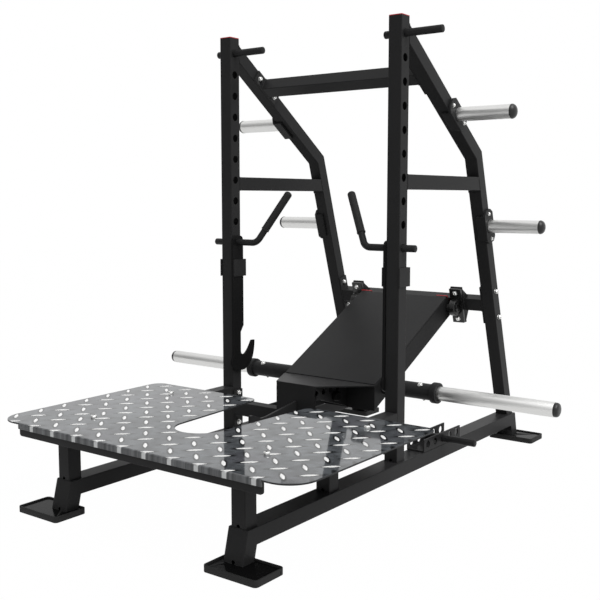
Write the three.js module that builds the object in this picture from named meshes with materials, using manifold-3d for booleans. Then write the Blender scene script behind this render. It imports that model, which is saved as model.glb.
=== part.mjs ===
// Belt squat machine: a welded tube frame with a tread plate platform, a weighted lever
// that swings on two bearings at the rear, and two swinging hooks that catch the lever.
// Millimetres. X runs across the machine, Y from the platform to the rear, Z up.
// Sizes in Y are counted from the front face of the uprights, sizes in Z from the floor.

import * as THREE from 'three';
import { mergeVertices } from 'three/addons/utils/BufferGeometryUtils.js';
import Module from 'manifold-3d';

const wasm = await Module();
wasm.setup();

// Fits, for the whole machine
const clearance = 0.3;
const overrun = 6;
const rodSides = 16;
const barSides = 24;
const hexSides = 6;
const cornerSteps = 6;

// Frame tube and the two side frames
const tubeSize = 50;
const tubeWall = 3;
const frameHalfWidth = 364;
const ventRadius = 6;
const ventRise = 4;

// Base rails and their leaning short legs
const railWidth = 70;
const railHeight = 50;
const railTopZ = 109;
const railFrontY = -791;
const railRearY = 941;
const legLeanShare = 0.25;

// Foot pads and the plates under the short legs
const padLength = 188;
const padDepth = 121;
const padHeight = 20;
const padRadius = 12;
const padRim = 5;
const padRecess = 11;
const footPlateGap = 3;
const padOutwardShift = 36;
const padFrontShift = 24.5;
const padRearShift = 11.5;
const footPlateThickness = 6;

// Uprights and their caps
const uprightTopZ = 1585;
const uprightHoleRadius = 13.5;
const uprightHolePitch = 77.33;
const uprightHoleCount = 10;
const topHoleDrop = 55.5;
const capThickness = 3;
const capPlugDepth = 18;

// Rear frames, from the uprights over a bend down to the rails
const rearFrameDrop = 53.5;
const rearBendY = 576;
const rearBendDrop = 426;
const rearFootY = 908;
const sideBarDrop = 532.5;

// Cross beams and their bolted flanges
const upperBeamY = 207.5;
const pivotBeamZ = 580;
const lowBeamZ = 199.5;
const flangeThickness = 6;
const upperFlangeLength = 150;
const pivotFlangeLength = 155;
const lowFlangeLength = 139;
const upperBoltOffset = 52;
const pivotBoltOffset = 55;
const lowBoltOffset = 57.5;
const boltHeadRadius = 9;
const boltHeadHeight = 7;

// Pivot bearings on the pivot beam
const bearingGap = 29.5;
const bearingPlateWidth = 52;
const bearingPlateLength = 152;
const bearingPlateThickness = 7;
const bearingBaseWidth = 50;
const bearingBaseLength = 146;
const bearingBaseThickness = 14;
const bearingAxisHeight = 32;
const bearingBarrelRadius = 32;
const bearingBarrelLength = 26;
const bearingBoltOffset = 54.5;
const gussetDepth = 36;
const gussetHeight = 40;
const gussetThickness = 5;

// Lever: two side tubes, a cover sheet, a pivot shaft and the weight shaft
const weightShaftY = 220;
const weightShaftZ = 316.5;
const leverTubeWidth = 50;
const leverTubeDepth = 80;
const leverHalfWidth = 205;
const leverEndReach = 17;
const leverFrontY = 148;
const leverPlate = 5;
const coverThickness = 4;
const coverInset = 2;
const coverNotchDepth = 10;
const pivotShaftRadius = 14;
const pivotShaftOverhang = 2;

// Nose of the lever, with its belt hook
const noseTipY = -53;
const noseTipZ = 344;
const noseHalfWidth = 86;
const noseFrontBottomZ = 236;
const cheekFrontBottomZ = 289;
const cheekStepY = -18;
const cheekRearBottomZ = 239;
const noseHoleRadius = 11;
const noseHoleZ = 315;
const noseHolePitch = 43;
const noseHoleCount = 4;
const firstNoseHoleSetback = 14;
const hookPlateThickness = 10;
const hookTipY = -308;
const hookTipZ = 275;
const hookTipWidth = 14;
const hookSeatY = -238;
const hookSeatZ = 257;
const hookNeckZ = 281;
const hookBottomZ = 228;
const hookHeelZ = 240;
const hookHeelY = 118;
const hookRootZ = 312;
const hookPinY = 70;
const hookPinZ = 290;
const hookPinRadius = 10;
const hookPinHeadRadius = 17.5;
const hookPinHeadLength = 20;
const hookPinTail = 8;
const stopHalfWidth = 25;
const stopMargin = 6;

// Weight shaft, collars, sleeves and end caps
const weightShaftRadius = 29;
const weightCollarStartX = 404;
const weightCollarEndX = 427;
const weightCollarRadius = 37;
const sleeveRadius = 25;
const sleeveWall = 4;
const sleeveEndX = 850;
const sleeveStubLength = 90;
const sleeveCapLength = 16;
const sleeveCapPlug = 12;

// Swinging hooks with their handles
const hookBarThickness = 9;
const hookBarWidth = 60;
const hookCornerRadius = 21;
const hookBarRise = 25;
const hookThroatZ = 402;
const hookTipRiseZ = 451;
const hookBarBottomZ = 342;
const hookTipReachY = 120;
const hookTipThickness = 17;
const hookThroatLowY = 56;
const hookThroatFrontY = 38;
const hookTaperTopZ = 515;
const hookTaperBottomZ = 490;
const jawFrontBulge = 10;
const jawFrontZ = 374;
const jawLowY = 48;
const jawRearInset = 11;
const jawRearZ = 387;
const handleRodRadius = 11;
const handleStub = 48;
const handleElbowInset = 100;
const handleTipInset = 102;
const handleTipSetback = 67;
const handleTipRise = 184.5;
const gripRadius = 13;
const gripLength = 168;
const gripEndWall = 4;
const guideThickness = 5;
const guideDrop = 64.5;
const guideHeight = 64;
const guideFrontOverhang = 4;
const guideRearGap = 10;

// Band pegs, in the uprights and in brackets on the rails
const pegRadius = 12.5;
const pegLength = 214;
const pegShortEnd = 28;
const pegBracketLength = 272;
const pegBracketCentreY = 305;
const pegBracketHeight = 46;
const pegBracketThickness = 5;
const pegBracketHoleZ = 25;
const pegBracketHolePitch = 53.5;
const pegBracketHoleCount = 5;

// Storage horns for weight plates, on brackets on the rear frames
const upperHornY = 384;
const lowerHornDrop = 268;
const hornRadius = 25;
const hornEndX = 619;
const hornBracketWidth = 70;
const hornBracketLength = 130;
const hornBracketThickness = 10;
const hornBracketChamfer = 16;
const hornBracketWrap = 28;
const hornBoltOffset = 50;

// Platform: tread plate on two side beams, posts and a front member
const treadTopZ = 286;
const treadThickness = 5;
const treadHalfWidth = 613;
const treadFrontY = -858;
const treadRearY = -124;
const treadFrontRadius = 86;
const treadRearRadius = 42;
const lipHalfWidth = 500;
const lipBottomZ = 266.5;
const notchRadius = 86;
const notchCentreY = -538;
const notchMouthHalfWidth = 110;
const notchCornerRadius = 38;
const frontMemberBottomZ = 243.5;
const frontMemberThickness = 8;
const frontMemberRadius = 9;
const frontPostY = -766;
const middlePostY = -371;
const platformBeamHeight = 34;

// Finishes
const powderCoat = new THREE.MeshStandardMaterial({ color: 0x232324, roughness: 0.55, metalness: 0.2 });
const chrome = new THREE.MeshStandardMaterial({ color: 0xc9cbcd, roughness: 0.16, metalness: 1 });
const treadSteel = new THREE.MeshStandardMaterial({ color: 0x84878c, roughness: 0.32, metalness: 0.9 });
const rubber = new THREE.MeshStandardMaterial({ color: 0x171718, roughness: 0.85, metalness: 0 });
const blackPlastic = new THREE.MeshStandardMaterial({ color: 0x141415, roughness: 0.5, metalness: 0 });
const redPlastic = new THREE.MeshStandardMaterial({ color: 0xb81f2c, roughness: 0.45, metalness: 0 });

// Places worked out from the sizes above
const tubeInnerX = frameHalfWidth - tubeSize / 2;
const tubeOuterX = frameHalfWidth + tubeSize / 2;
const holeY = tubeSize / 2;
const topHoleZ = uprightTopZ - topHoleDrop;
const hookHoleZ = topHoleZ - (uprightHoleCount - 1) * uprightHolePitch;
const treadBottomZ = treadTopZ - treadThickness;
const legBottomZ = padHeight - padRecess + clearance + footPlateThickness;
const sideBarZ = uprightTopZ - sideBarDrop;
const rearBendZ = uprightTopZ - rearBendDrop;
const bearingX = leverHalfWidth + bearingGap;

// Solids: closed geometries that can be joined and cut

function solidOf(geometry) {
  const bare = geometry.clone();
  bare.deleteAttribute('normal');
  bare.deleteAttribute('uv');
  const merged = mergeVertices(bare);
  return new wasm.Manifold(new wasm.Mesh({
    numProp: 3,
    vertProperties: new Float32Array(merged.attributes.position.array),
    triVerts: new Uint32Array(merged.index.array),
  }));
}

function geometryOf(solid) {
  const mesh = solid.getMesh();
  const geometry = new THREE.BufferGeometry();
  geometry.setAttribute('position', new THREE.BufferAttribute(new Float32Array(mesh.vertProperties), 3));
  geometry.setIndex(new THREE.BufferAttribute(new Uint32Array(mesh.triVerts), 1));
  geometry.computeVertexNormals();
  return geometry;
}

function joined(solids) {
  return solids.reduce((whole, solid) => whole.add(solid));
}

function cutBy(solid, cutters) {
  return cutters.reduce((whole, cutter) => whole.subtract(cutter), solid);
}

// the same geometry on the other side of the machine, with its faces still pointing out
function mirrored(geometry) {
  const copy = geometry.clone().scale(-1, 1, 1);
  const corners = copy.index.array;
  for (let i = 0; i < corners.length; i += 3) {
    [corners[i], corners[i + 1]] = [corners[i + 1], corners[i]];
  }
  copy.computeVertexNormals();
  return copy;
}

function block([xLow, xHigh], [yLow, yHigh], [zLow, zHigh]) {
  const box = new THREE.BoxGeometry(xHigh - xLow, yHigh - yLow, zHigh - zLow);
  box.translate((xLow + xHigh) / 2, (yLow + yHigh) / 2, (zLow + zHigh) / 2);
  return solidOf(box);
}

function slabOf(shape, depth) {
  return new THREE.ExtrudeGeometry(shape, { depth, bevelEnabled: false, curveSegments: cornerSteps });
}

// an outline of side view points (y, z), carried along X
function sideSolid(points, xLow, xHigh) {
  const shape = points instanceof THREE.Shape ? points : new THREE.Shape(points);
  const body = slabOf(shape, xHigh - xLow);
  const axes = new THREE.Matrix4().makeBasis(
    new THREE.Vector3(0, 1, 0), new THREE.Vector3(0, 0, 1), new THREE.Vector3(1, 0, 0));
  body.applyMatrix4(axes).translate(xLow, 0, 0);
  return solidOf(body);
}

// an outline of plan view points (x, y), carried up
function planSolid(shape, zLow, zHigh) {
  return solidOf(slabOf(shape, zHigh - zLow).translate(0, 0, zLow));
}

// an outline of front view points (x, z), carried back from yLow to yHigh
function frontSolid(shape, yLow, yHigh) {
  return solidOf(slabOf(shape, yHigh - yLow).rotateX(Math.PI / 2).translate(0, yHigh, 0));
}

function rodBetween(from, to, radius, sides = rodSides) {
  const axis = to.clone().sub(from);
  const rod = new THREE.CylinderGeometry(radius, radius, axis.length(), sides);
  rod.applyQuaternion(new THREE.Quaternion().setFromUnitVectors(
    new THREE.Vector3(0, 1, 0), axis.clone().normalize()));
  const middle = from.clone().add(to).divideScalar(2);
  rod.translate(middle.x, middle.y, middle.z);
  return solidOf(rod);
}

function rodAlongX(xLow, xHigh, y, z, radius, sides = rodSides) {
  return rodBetween(new THREE.Vector3(xLow, y, z), new THREE.Vector3(xHigh, y, z), radius, sides);
}

// the radius of a faceted hole whose flats clear a rod
function boreRadius(radius, sides = rodSides) {
  return (radius + clearance) / Math.cos(Math.PI / sides);
}

// a profile of points (radius, x) turned about the X axis
function turnedAboutX(points, sides = barSides) {
  const lathe = new THREE.LatheGeometry(points.map(([r, x]) => new THREE.Vector2(r, x)), sides);
  return solidOf(lathe.rotateZ(-Math.PI / 2));
}

function roundedRectangle(xLow, xHigh, yLow, yHigh, radius) {
  const shape = new THREE.Shape();
  shape.moveTo(xLow + radius, yLow);
  shape.lineTo(xHigh - radius, yLow);
  shape.absarc(xHigh - radius, yLow + radius, radius, -Math.PI / 2, 0, false);
  shape.lineTo(xHigh, yHigh - radius);
  shape.absarc(xHigh - radius, yHigh - radius, radius, 0, Math.PI / 2, false);
  shape.lineTo(xLow + radius, yHigh);
  shape.absarc(xLow + radius, yHigh - radius, radius, Math.PI / 2, Math.PI, false);
  shape.lineTo(xLow, yLow + radius);
  shape.absarc(xLow + radius, yLow + radius, radius, Math.PI, Math.PI * 1.5, false);
  return shape;
}

// Lines in the side view, for outlines whose corners are where lines meet

function lineThrough(from, to, shift = 0) {
  const along = to.clone().sub(from).normalize();
  const left = new THREE.Vector2(-along.y, along.x);
  return { point: from.clone().addScaledVector(left, shift), along };
}

function lineAtY(y) {
  return { point: new THREE.Vector2(y, 0), along: new THREE.Vector2(0, 1) };
}

function lineAtZ(z) {
  return { point: new THREE.Vector2(0, z), along: new THREE.Vector2(1, 0) };
}

function meet(first, second) {
  const gap = second.point.clone().sub(first.point);
  const reach = gap.cross(second.along) / first.along.cross(second.along);
  return first.point.clone().addScaledVector(first.along, reach);
}

// a band of even depth along a path of side view points, cut off by a line at each end
function bandOutline(path, depth, start, end) {
  const sideOf = shift => {
    const lines = path.slice(1).map((point, i) => lineThrough(path[i], point, shift));
    const all = [start, ...lines, end];
    return all.slice(1).map((line, i) => meet(all[i], line));
  };
  return [...sideOf(-depth / 2), ...sideOf(depth / 2).reverse()];
}

// a square tube along such a path, open at both ends
function bentTube({ path, depth, width, centreX, ends, pastEnds }) {
  const outer = bandOutline(path, depth, ...ends);
  const inner = bandOutline(path, depth - 2 * tubeWall, ...pastEnds);
  const innerHalf = width / 2 - tubeWall;
  return sideSolid(outer, centreX - width / 2, centreX + width / 2)
    .subtract(sideSolid(inner, centreX - innerHalf, centreX + innerHalf));
}

// a straight square tube, open at both ends of its long axis (0, 1 or 2 for X, Y or Z)
function straightTube(spans, longAxis) {
  const inner = spans.map(([low, high], axis) => axis === longAxis
    ? [low - overrun, high + overrun]
    : [low + tubeWall, high - tubeWall]);
  return block(...spans).subtract(block(...inner));
}

// the small round vent that is drilled in a leg's front face, just above the weld
function vent(centreX, faceY, bottomZ) {
  const z = bottomZ + ventRise;
  return rodBetween(
    new THREE.Vector3(centreX, faceY - overrun, z),
    new THREE.Vector3(centreX, faceY + tubeWall + overrun, z),
    ventRadius);
}

// The scene graph

const machine = new THREE.Group();

function add(name, solid, material, parent = machine) {
  const mesh = new THREE.Mesh(solid instanceof THREE.BufferGeometry ? solid : geometryOf(solid), material);
  mesh.name = name;
  parent.add(mesh);
  return mesh;
}

const sides = [['left', -1], ['right', 1]];

// Side view paths of the frame's bent tubes

const railCentreZ = railTopZ - railHeight / 2;
const lean = new THREE.Vector2(legLeanShare, 1).normalize();
const railCentre = lineAtZ(railCentreZ);
const frontOuter = new THREE.Vector2(railFrontY, railTopZ);
const rearOuter = new THREE.Vector2(railRearY, railTopZ);
const frontLegCentre = lineThrough(frontOuter, frontOuter.clone().add(lean), -railHeight / 2);
const rearLean = new THREE.Vector2(-lean.x, lean.y);
const rearLegCentre = lineThrough(rearOuter, rearOuter.clone().add(rearLean), railHeight / 2);
const railPath = [
  meet(frontLegCentre, lineAtZ(0)),
  meet(frontLegCentre, railCentre),
  meet(rearLegCentre, railCentre),
  meet(rearLegCentre, lineAtZ(0)),
];
const frontLegFootY = meet(frontLegCentre, lineAtZ(legBottomZ)).x;
const rearLegFootY = meet(rearLegCentre, lineAtZ(legBottomZ)).x;

const rearStart = new THREE.Vector2(tubeSize, uprightTopZ - rearFrameDrop);
const rearBend = new THREE.Vector2(rearBendY, rearBendZ);
const rearFoot = new THREE.Vector2(rearFootY, railTopZ);
const slopeAngle = Math.atan2(rearBend.y - rearStart.y, rearBend.x - rearStart.x);
const rearLegAngle = Math.atan2(rearFoot.x - rearBend.x, rearBend.y - rearFoot.y);
const slopeCentre = lineThrough(rearStart, rearBend);
const rearLegCentreLine = lineThrough(rearBend, rearFoot);

// Base rails with the plates welded under their short legs

function footPlate(centreX, centreY) {
  const halfX = padLength / 2 - padRim - footPlateGap;
  const halfY = padDepth / 2 - padRim - footPlateGap;
  return block(
    [centreX - halfX, centreX + halfX],
    [centreY - halfY, centreY + halfY],
    [legBottomZ - footPlateThickness, legBottomZ]);
}

const padCentreX = frameHalfWidth + padOutwardShift;
const padFrontY = frontLegFootY - padFrontShift;
const padRearY = rearLegFootY + padRearShift;

for (const [side, sign] of sides) {
  const railOutline = bandOutline(railPath, railHeight, lineAtZ(legBottomZ), lineAtZ(legBottomZ));
  const boreOutline = bandOutline(railPath, railHeight - 2 * tubeWall, lineAtZ(0), lineAtZ(0));
  const outerHalf = railWidth / 2;
  const boreHalf = outerHalf - tubeWall;
  const centreX = sign * frameHalfWidth;
  const rail = sideSolid(railOutline, centreX - outerHalf, centreX + outerHalf);
  const legFrontY = meet(lineThrough(railPath[0], railPath[1], railHeight / 2), lineAtZ(legBottomZ)).x;
  const outer = joined([
    rail.subtract(vent(centreX, legFrontY, legBottomZ)),
    footPlate(sign * padCentreX, padFrontY),
    footPlate(sign * padCentreX, padRearY),
  ]);
  const bore = sideSolid(boreOutline, centreX - boreHalf, centreX + boreHalf);
  add(`base_rail_${side}`, outer.subtract(bore), powderCoat);
}

// Rubber foot pads, shallow trays that the foot plates stand in

function footPad() {
  const outer = roundedRectangle(-padLength / 2, padLength / 2, -padDepth / 2, padDepth / 2, padRadius);
  const recess = block(
    [padRim - padLength / 2, padLength / 2 - padRim],
    [padRim - padDepth / 2, padDepth / 2 - padRim],
    [padHeight - padRecess, padHeight + overrun]);
  return geometryOf(planSolid(outer, 0, padHeight).subtract(recess));
}

const padGeometry = footPad();
for (const [side, sign] of sides) {
  for (const [end, y] of [['front', padFrontY], ['rear', padRearY]]) {
    add(`foot_pad_${end}_${side}`, padGeometry, rubber).position.set(sign * padCentreX, y, 0);
  }
}

// Uprights with their row of holes, and the caps in their tops

function uprightTube() {
  const half = tubeSize / 2;
  const tube = straightTube([[-half, half], [0, tubeSize], [railTopZ + clearance, uprightTopZ]], 2);
  const holes = [];
  for (let i = 0; i < uprightHoleCount; i += 1) {
    const z = topHoleZ - i * uprightHolePitch;
    holes.push(rodAlongX(-half - overrun, half + overrun, holeY, z, uprightHoleRadius));
  }
  holes.push(vent(0, 0, railTopZ + clearance));
  return geometryOf(cutBy(tube, holes));
}

function uprightCap() {
  const half = tubeSize / 2;
  const plugHalf = half - tubeWall - clearance;
  const top = uprightTopZ + clearance;
  return geometryOf(joined([
    block([-half, half], [0, tubeSize], [top, top + capThickness]),
    block([-plugHalf, plugHalf], [half - plugHalf, half + plugHalf], [top - capPlugDepth, top]),
  ]));
}

const uprightGeometry = uprightTube();
const capGeometry = uprightCap();
for (const [side, sign] of sides) {
  add(`upright_${side}`, uprightGeometry, powderCoat).position.x = sign * frameHalfWidth;
  add(`upright_cap_${side}`, capGeometry, redPlastic).position.x = sign * frameHalfWidth;
}

// Rear frames and the level side bars

const legFace = lineThrough(rearBend, rearFoot, -tubeSize / 2 - clearance);
for (const [side, sign] of sides) {
  add(`rear_frame_${side}`, bentTube({
    path: [rearStart, rearBend, rearFoot],
    depth: tubeSize,
    width: tubeSize,
    centreX: sign * frameHalfWidth,
    ends: [lineAtY(tubeSize + clearance), lineAtZ(railTopZ + clearance)],
    pastEnds: [lineAtY(tubeSize - overrun), lineAtZ(railTopZ - overrun)],
  }), powderCoat);

  const barStart = new THREE.Vector2(tubeSize, sideBarZ);
  const barEnd = new THREE.Vector2(rearBendY, sideBarZ);
  const pastLeg = lineThrough(rearBend, rearFoot, overrun);
  add(`side_bar_${side}`, bentTube({
    path: [barStart, barEnd],
    depth: tubeSize,
    width: tubeSize,
    centreX: sign * frameHalfWidth,
    ends: [lineAtY(tubeSize + clearance), legFace],
    pastEnds: [lineAtY(tubeSize - overrun), pastLeg],
  }), powderCoat);
}

// Cross beams between the side frames, drawn level and turned to lie along the tubes they join

const flangeFaceX = tubeInnerX - clearance;

// a beam with a flange at each end and bolt heads on the flanges, bored right through
function flangedBeam(flangeLength, boltOffset, alongAxis) {
  const half = tubeSize / 2;
  const flangeHalf = flangeLength / 2;
  const across = [-half, half];
  const along = [-flangeHalf, flangeHalf];
  const flangeSpans = alongAxis === 'y' ? [along, across] : [across, along];
  const parts = [block([-flangeFaceX, flangeFaceX], across, across)];
  for (const [, sign] of sides) {
    const face = sign * flangeFaceX;
    const inner = sign * (flangeFaceX - flangeThickness);
    parts.push(block([Math.min(face, inner), Math.max(face, inner)], ...flangeSpans));
    for (const offset of [-boltOffset, boltOffset]) {
      const [y, z] = alongAxis === 'y' ? [offset, 0] : [0, offset];
      const head = sign * (flangeFaceX - flangeThickness - boltHeadHeight);
      parts.push(rodAlongX(face, head, y, z, boltHeadRadius, hexSides));
    }
  }
  const boreHalf = half - tubeWall;
  const bore = block(
    [-flangeFaceX - overrun, flangeFaceX + overrun], [-boreHalf, boreHalf], [-boreHalf, boreHalf]);
  return { outer: joined(parts), bore };
}

function placedAt(mesh, centre, angle) {
  mesh.position.set(0, centre.x, centre.y);
  mesh.rotation.x = angle;
}

const upperBeam = flangedBeam(upperFlangeLength, upperBoltOffset, 'y');
const upperBeamMesh = add('upper_cross_beam', upperBeam.outer.subtract(upperBeam.bore), powderCoat);
placedAt(upperBeamMesh, meet(slopeCentre, lineAtY(upperBeamY)), slopeAngle);

const lowBeam = flangedBeam(lowFlangeLength, lowBoltOffset, 'z');
const lowBeamMesh = add('low_cross_beam', lowBeam.outer.subtract(lowBeam.bore), powderCoat);
placedAt(lowBeamMesh, new THREE.Vector2(tubeSize / 2, lowBeamZ), 0);

// The pivot beam also carries the two bearing plates, each with four gussets behind it

function bearingMount(centreX) {
  const face = -tubeSize / 2;
  const half = bearingPlateWidth / 2;
  const plateHalf = bearingPlateLength / 2;
  const parts = [block(
    [centreX - half, centreX + half],
    [face - bearingPlateThickness, face],
    [-plateHalf, plateHalf])];
  for (const edge of [-half, half - gussetThickness]) {
    for (const up of [-1, 1]) {
      const corner = up * tubeSize / 2;
      const outline = [
        new THREE.Vector2(face, corner),
        new THREE.Vector2(face + gussetDepth, corner),
        new THREE.Vector2(face, corner + up * gussetHeight),
      ];
      if (up < 0) outline.reverse();
      parts.push(sideSolid(outline, centreX + edge, centreX + edge + gussetThickness));
    }
  }
  return parts;
}

const pivotBeam = flangedBeam(pivotFlangeLength, pivotBoltOffset, 'z');
const pivotBeamOuter = joined([pivotBeam.outer, ...bearingMount(-bearingX), ...bearingMount(bearingX)]);
const pivotBeamCentre = meet(rearLegCentreLine, lineAtZ(pivotBeamZ));
const pivotBeamMesh = add('pivot_cross_beam', pivotBeamOuter.subtract(pivotBeam.bore), powderCoat);
placedAt(pivotBeamMesh, pivotBeamCentre, rearLegAngle);

// Pillow block bearings, bolted to the plates on the pivot beam

const bearingBaseY = -tubeSize / 2 - bearingPlateThickness - clearance;
const pivotLocalY = bearingBaseY - bearingAxisHeight;

function pivotBearing() {
  const halfWidth = bearingBaseWidth / 2;
  const halfLength = bearingBaseLength / 2;
  const halfBarrel = bearingBarrelLength / 2;
  const barrel = bearingBarrelRadius;
  const baseFront = bearingBaseY - bearingBaseThickness;
  const parts = [
    block([-halfWidth, halfWidth], [baseFront, bearingBaseY], [-halfLength, halfLength]),
    block([-halfBarrel, halfBarrel], [pivotLocalY, bearingBaseY], [-barrel, barrel]),
    rodAlongX(-halfBarrel, halfBarrel, pivotLocalY, 0, barrel, barSides),
  ];
  for (const z of [-bearingBoltOffset, bearingBoltOffset]) {
    const seat = new THREE.Vector3(0, bearingBaseY, z);
    const top = new THREE.Vector3(0, baseFront - boltHeadHeight, z);
    parts.push(rodBetween(seat, top, boltHeadRadius, hexSides));
  }
  const bore = rodAlongX(
    -halfWidth - overrun, halfWidth + overrun, pivotLocalY, 0, boreRadius(pivotShaftRadius), rodSides);
  return geometryOf(joined(parts).subtract(bore));
}

const bearingGeometry = pivotBearing();
for (const [side, sign] of sides) {
  const bearing = add(`pivot_bearing_${side}`, bearingGeometry, blackPlastic);
  placedAt(bearing, pivotBeamCentre, rearLegAngle);
  bearing.position.x = sign * bearingX;
}

// Platform

function treadOutline() {
  const shape = new THREE.Shape();
  const front = treadFrontRadius;
  const rear = treadRearRadius;
  const corner = notchCornerRadius;
  const cornerX = notchMouthHalfWidth + corner;
  shape.moveTo(front - treadHalfWidth, treadFrontY);
  shape.lineTo(treadHalfWidth - front, treadFrontY);
  shape.absarc(treadHalfWidth - front, treadFrontY + front, front, -Math.PI / 2, 0, false);
  shape.lineTo(treadHalfWidth, treadRearY - rear);
  shape.absarc(treadHalfWidth - rear, treadRearY - rear, rear, 0, Math.PI / 2, false);
  shape.lineTo(cornerX, treadRearY);
  shape.absarc(cornerX, treadRearY - corner, corner, Math.PI / 2, Math.PI, false);
  shape.absarc(0, notchCentreY, notchRadius, 0, -Math.PI, true);
  shape.absarc(-cornerX, treadRearY - corner, corner, 0, Math.PI / 2, false);
  shape.lineTo(rear - treadHalfWidth, treadRearY);
  shape.absarc(rear - treadHalfWidth, treadRearY - rear, rear, Math.PI / 2, Math.PI, false);
  shape.lineTo(-treadHalfWidth, treadFrontY + front);
  shape.absarc(front - treadHalfWidth, treadFrontY + front, front, Math.PI, Math.PI * 1.5, false);
  return shape;
}

add('tread_plate', joined([
  planSolid(treadOutline(), treadBottomZ, treadTopZ),
  block([-lipHalfWidth, lipHalfWidth], [treadFrontY, treadFrontY + treadThickness], [lipBottomZ, treadTopZ]),
]), treadSteel);

const memberFrontY = treadFrontY + treadThickness + clearance;
const memberRearY = memberFrontY + frontMemberThickness;
const beamTopZ = treadBottomZ - clearance;
const beamBottomZ = beamTopZ - platformBeamHeight;
const memberOutline = roundedRectangle(
  -lipHalfWidth, lipHalfWidth, frontMemberBottomZ, beamTopZ, frontMemberRadius);
add('platform_front_member', frontSolid(memberOutline, memberFrontY, memberRearY), powderCoat);

for (const [side, sign] of sides) {
  const across = [-tubeSize / 2, tubeSize / 2].map(edge => sign * frameHalfWidth + edge);
  const beamSpans = [across, [memberRearY + clearance, -clearance], [beamBottomZ, beamTopZ]];
  add(`platform_beam_${side}`, straightTube(beamSpans, 1), powderCoat);
  for (const [name, centreY] of [['front_post', frontPostY], ['middle_post', middlePostY]]) {
    const postFrontY = centreY - tubeSize / 2;
    const postBottomZ = railTopZ + clearance;
    const post = straightTube([
      across,
      [postFrontY, postFrontY + tubeSize],
      [postBottomZ, beamBottomZ - clearance],
    ], 2);
    const postVent = vent(sign * frameHalfWidth, postFrontY, postBottomZ);
    add(`${name}_${side}`, post.subtract(postVent), powderCoat);
  }
}

// Storage horns, each on a bracket that is bolted to the outside of a rear frame

function hornBracket() {
  const halfWidth = hornBracketWidth / 2;
  const halfLength = hornBracketLength / 2;
  const cut = hornBracketChamfer;
  const plateX = tubeOuterX + clearance;
  const faceX = plateX + hornBracketThickness;
  const outline = [
    [cut - halfLength, -halfWidth], [halfLength - cut, -halfWidth], [halfLength, cut - halfWidth],
    [halfLength, halfWidth - cut], [halfLength - cut, halfWidth], [cut - halfLength, halfWidth],
    [-halfLength, halfWidth - cut], [-halfLength, cut - halfWidth],
  ].map(([along, across]) => new THREE.Vector2(along, across));
  const wrapTop = -tubeSize / 2 - clearance;
  const parts = [
    sideSolid(outline, plateX, faceX),
    block([plateX - hornBracketWrap, faceX], [cut - halfLength, halfLength - cut], [-halfWidth, wrapTop]),
  ];
  for (const along of [-hornBoltOffset, hornBoltOffset]) {
    parts.push(rodAlongX(plateX, faceX + boltHeadHeight, along, 0, boltHeadRadius, hexSides));
  }
  return geometryOf(joined(parts));
}

const hornStartX = tubeOuterX + 2 * clearance + hornBracketThickness;
const hornGeometry = geometryOf(rodAlongX(hornStartX, hornEndX, 0, 0, hornRadius, barSides));
const bracketGeometry = hornBracket();
const hornPlaces = [
  ['upper', meet(slopeCentre, lineAtY(upperHornY)), slopeAngle],
  ['lower', meet(rearLegCentreLine, lineAtZ(rearBendZ - lowerHornDrop)), rearLegAngle - Math.PI / 2],
];
for (const [side, sign] of sides) {
  for (const [level, centre, angle] of hornPlaces) {
    const bracket = sign > 0 ? bracketGeometry : mirrored(bracketGeometry);
    const horn = sign > 0 ? hornGeometry : mirrored(hornGeometry);
    placedAt(add(`storage_bracket_${level}_${side}`, bracket, powderCoat), centre, angle);
    placedAt(add(`storage_horn_${level}_${side}`, horn, chrome), centre, 0);
  }
}

// Band pegs: a loose bar through the top hole of each upright, and one in a bracket on each rail

const upperPegStart = {
  right: tubeInnerX - pegShortEnd,
  left: -tubeOuterX - pegShortEnd,
};
for (const [side] of sides) {
  const start = upperPegStart[side];
  add(`band_peg_upper_${side}`, rodAlongX(start, start + pegLength, holeY, topHoleZ, pegRadius), powderCoat);
}

function pegBracket() {
  const half = railWidth / 2;
  const halfLength = pegBracketLength / 2;
  const bottom = railTopZ + clearance;
  const floor = bottom + pegBracketThickness;
  const top = railTopZ + pegBracketHeight;
  const channel = block([-half, half], [-halfLength, halfLength], [bottom, top]).subtract(block(
    [pegBracketThickness - half, half - pegBracketThickness],
    [-halfLength - overrun, halfLength + overrun],
    [floor, top + overrun]));
  const holes = [];
  for (let i = 0; i < pegBracketHoleCount; i += 1) {
    const y = (i - (pegBracketHoleCount - 1) / 2) * pegBracketHolePitch;
    holes.push(rodAlongX(-half - overrun, half + overrun, y, railTopZ + pegBracketHoleZ, uprightHoleRadius));
  }
  return geometryOf(cutBy(channel, holes));
}

const pegBracketGeometry = pegBracket();
for (const [side, sign] of sides) {
  const start = frameHalfWidth - railWidth / 2 - pegShortEnd / 2;
  const span = [sign * start, sign * (start + pegLength)].sort((a, b) => a - b);
  const z = railTopZ + pegBracketHoleZ;
  add(`peg_bracket_${side}`, pegBracketGeometry, powderCoat)
    .position.set(sign * frameHalfWidth, pegBracketCentreY, 0);
  add(`band_peg_lower_${side}`, rodAlongX(...span, pegBracketCentreY, z, pegRadius), powderCoat);
}

// Lever, drawn at rest. Its centre line runs from the pivot to the weight shaft.

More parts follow.
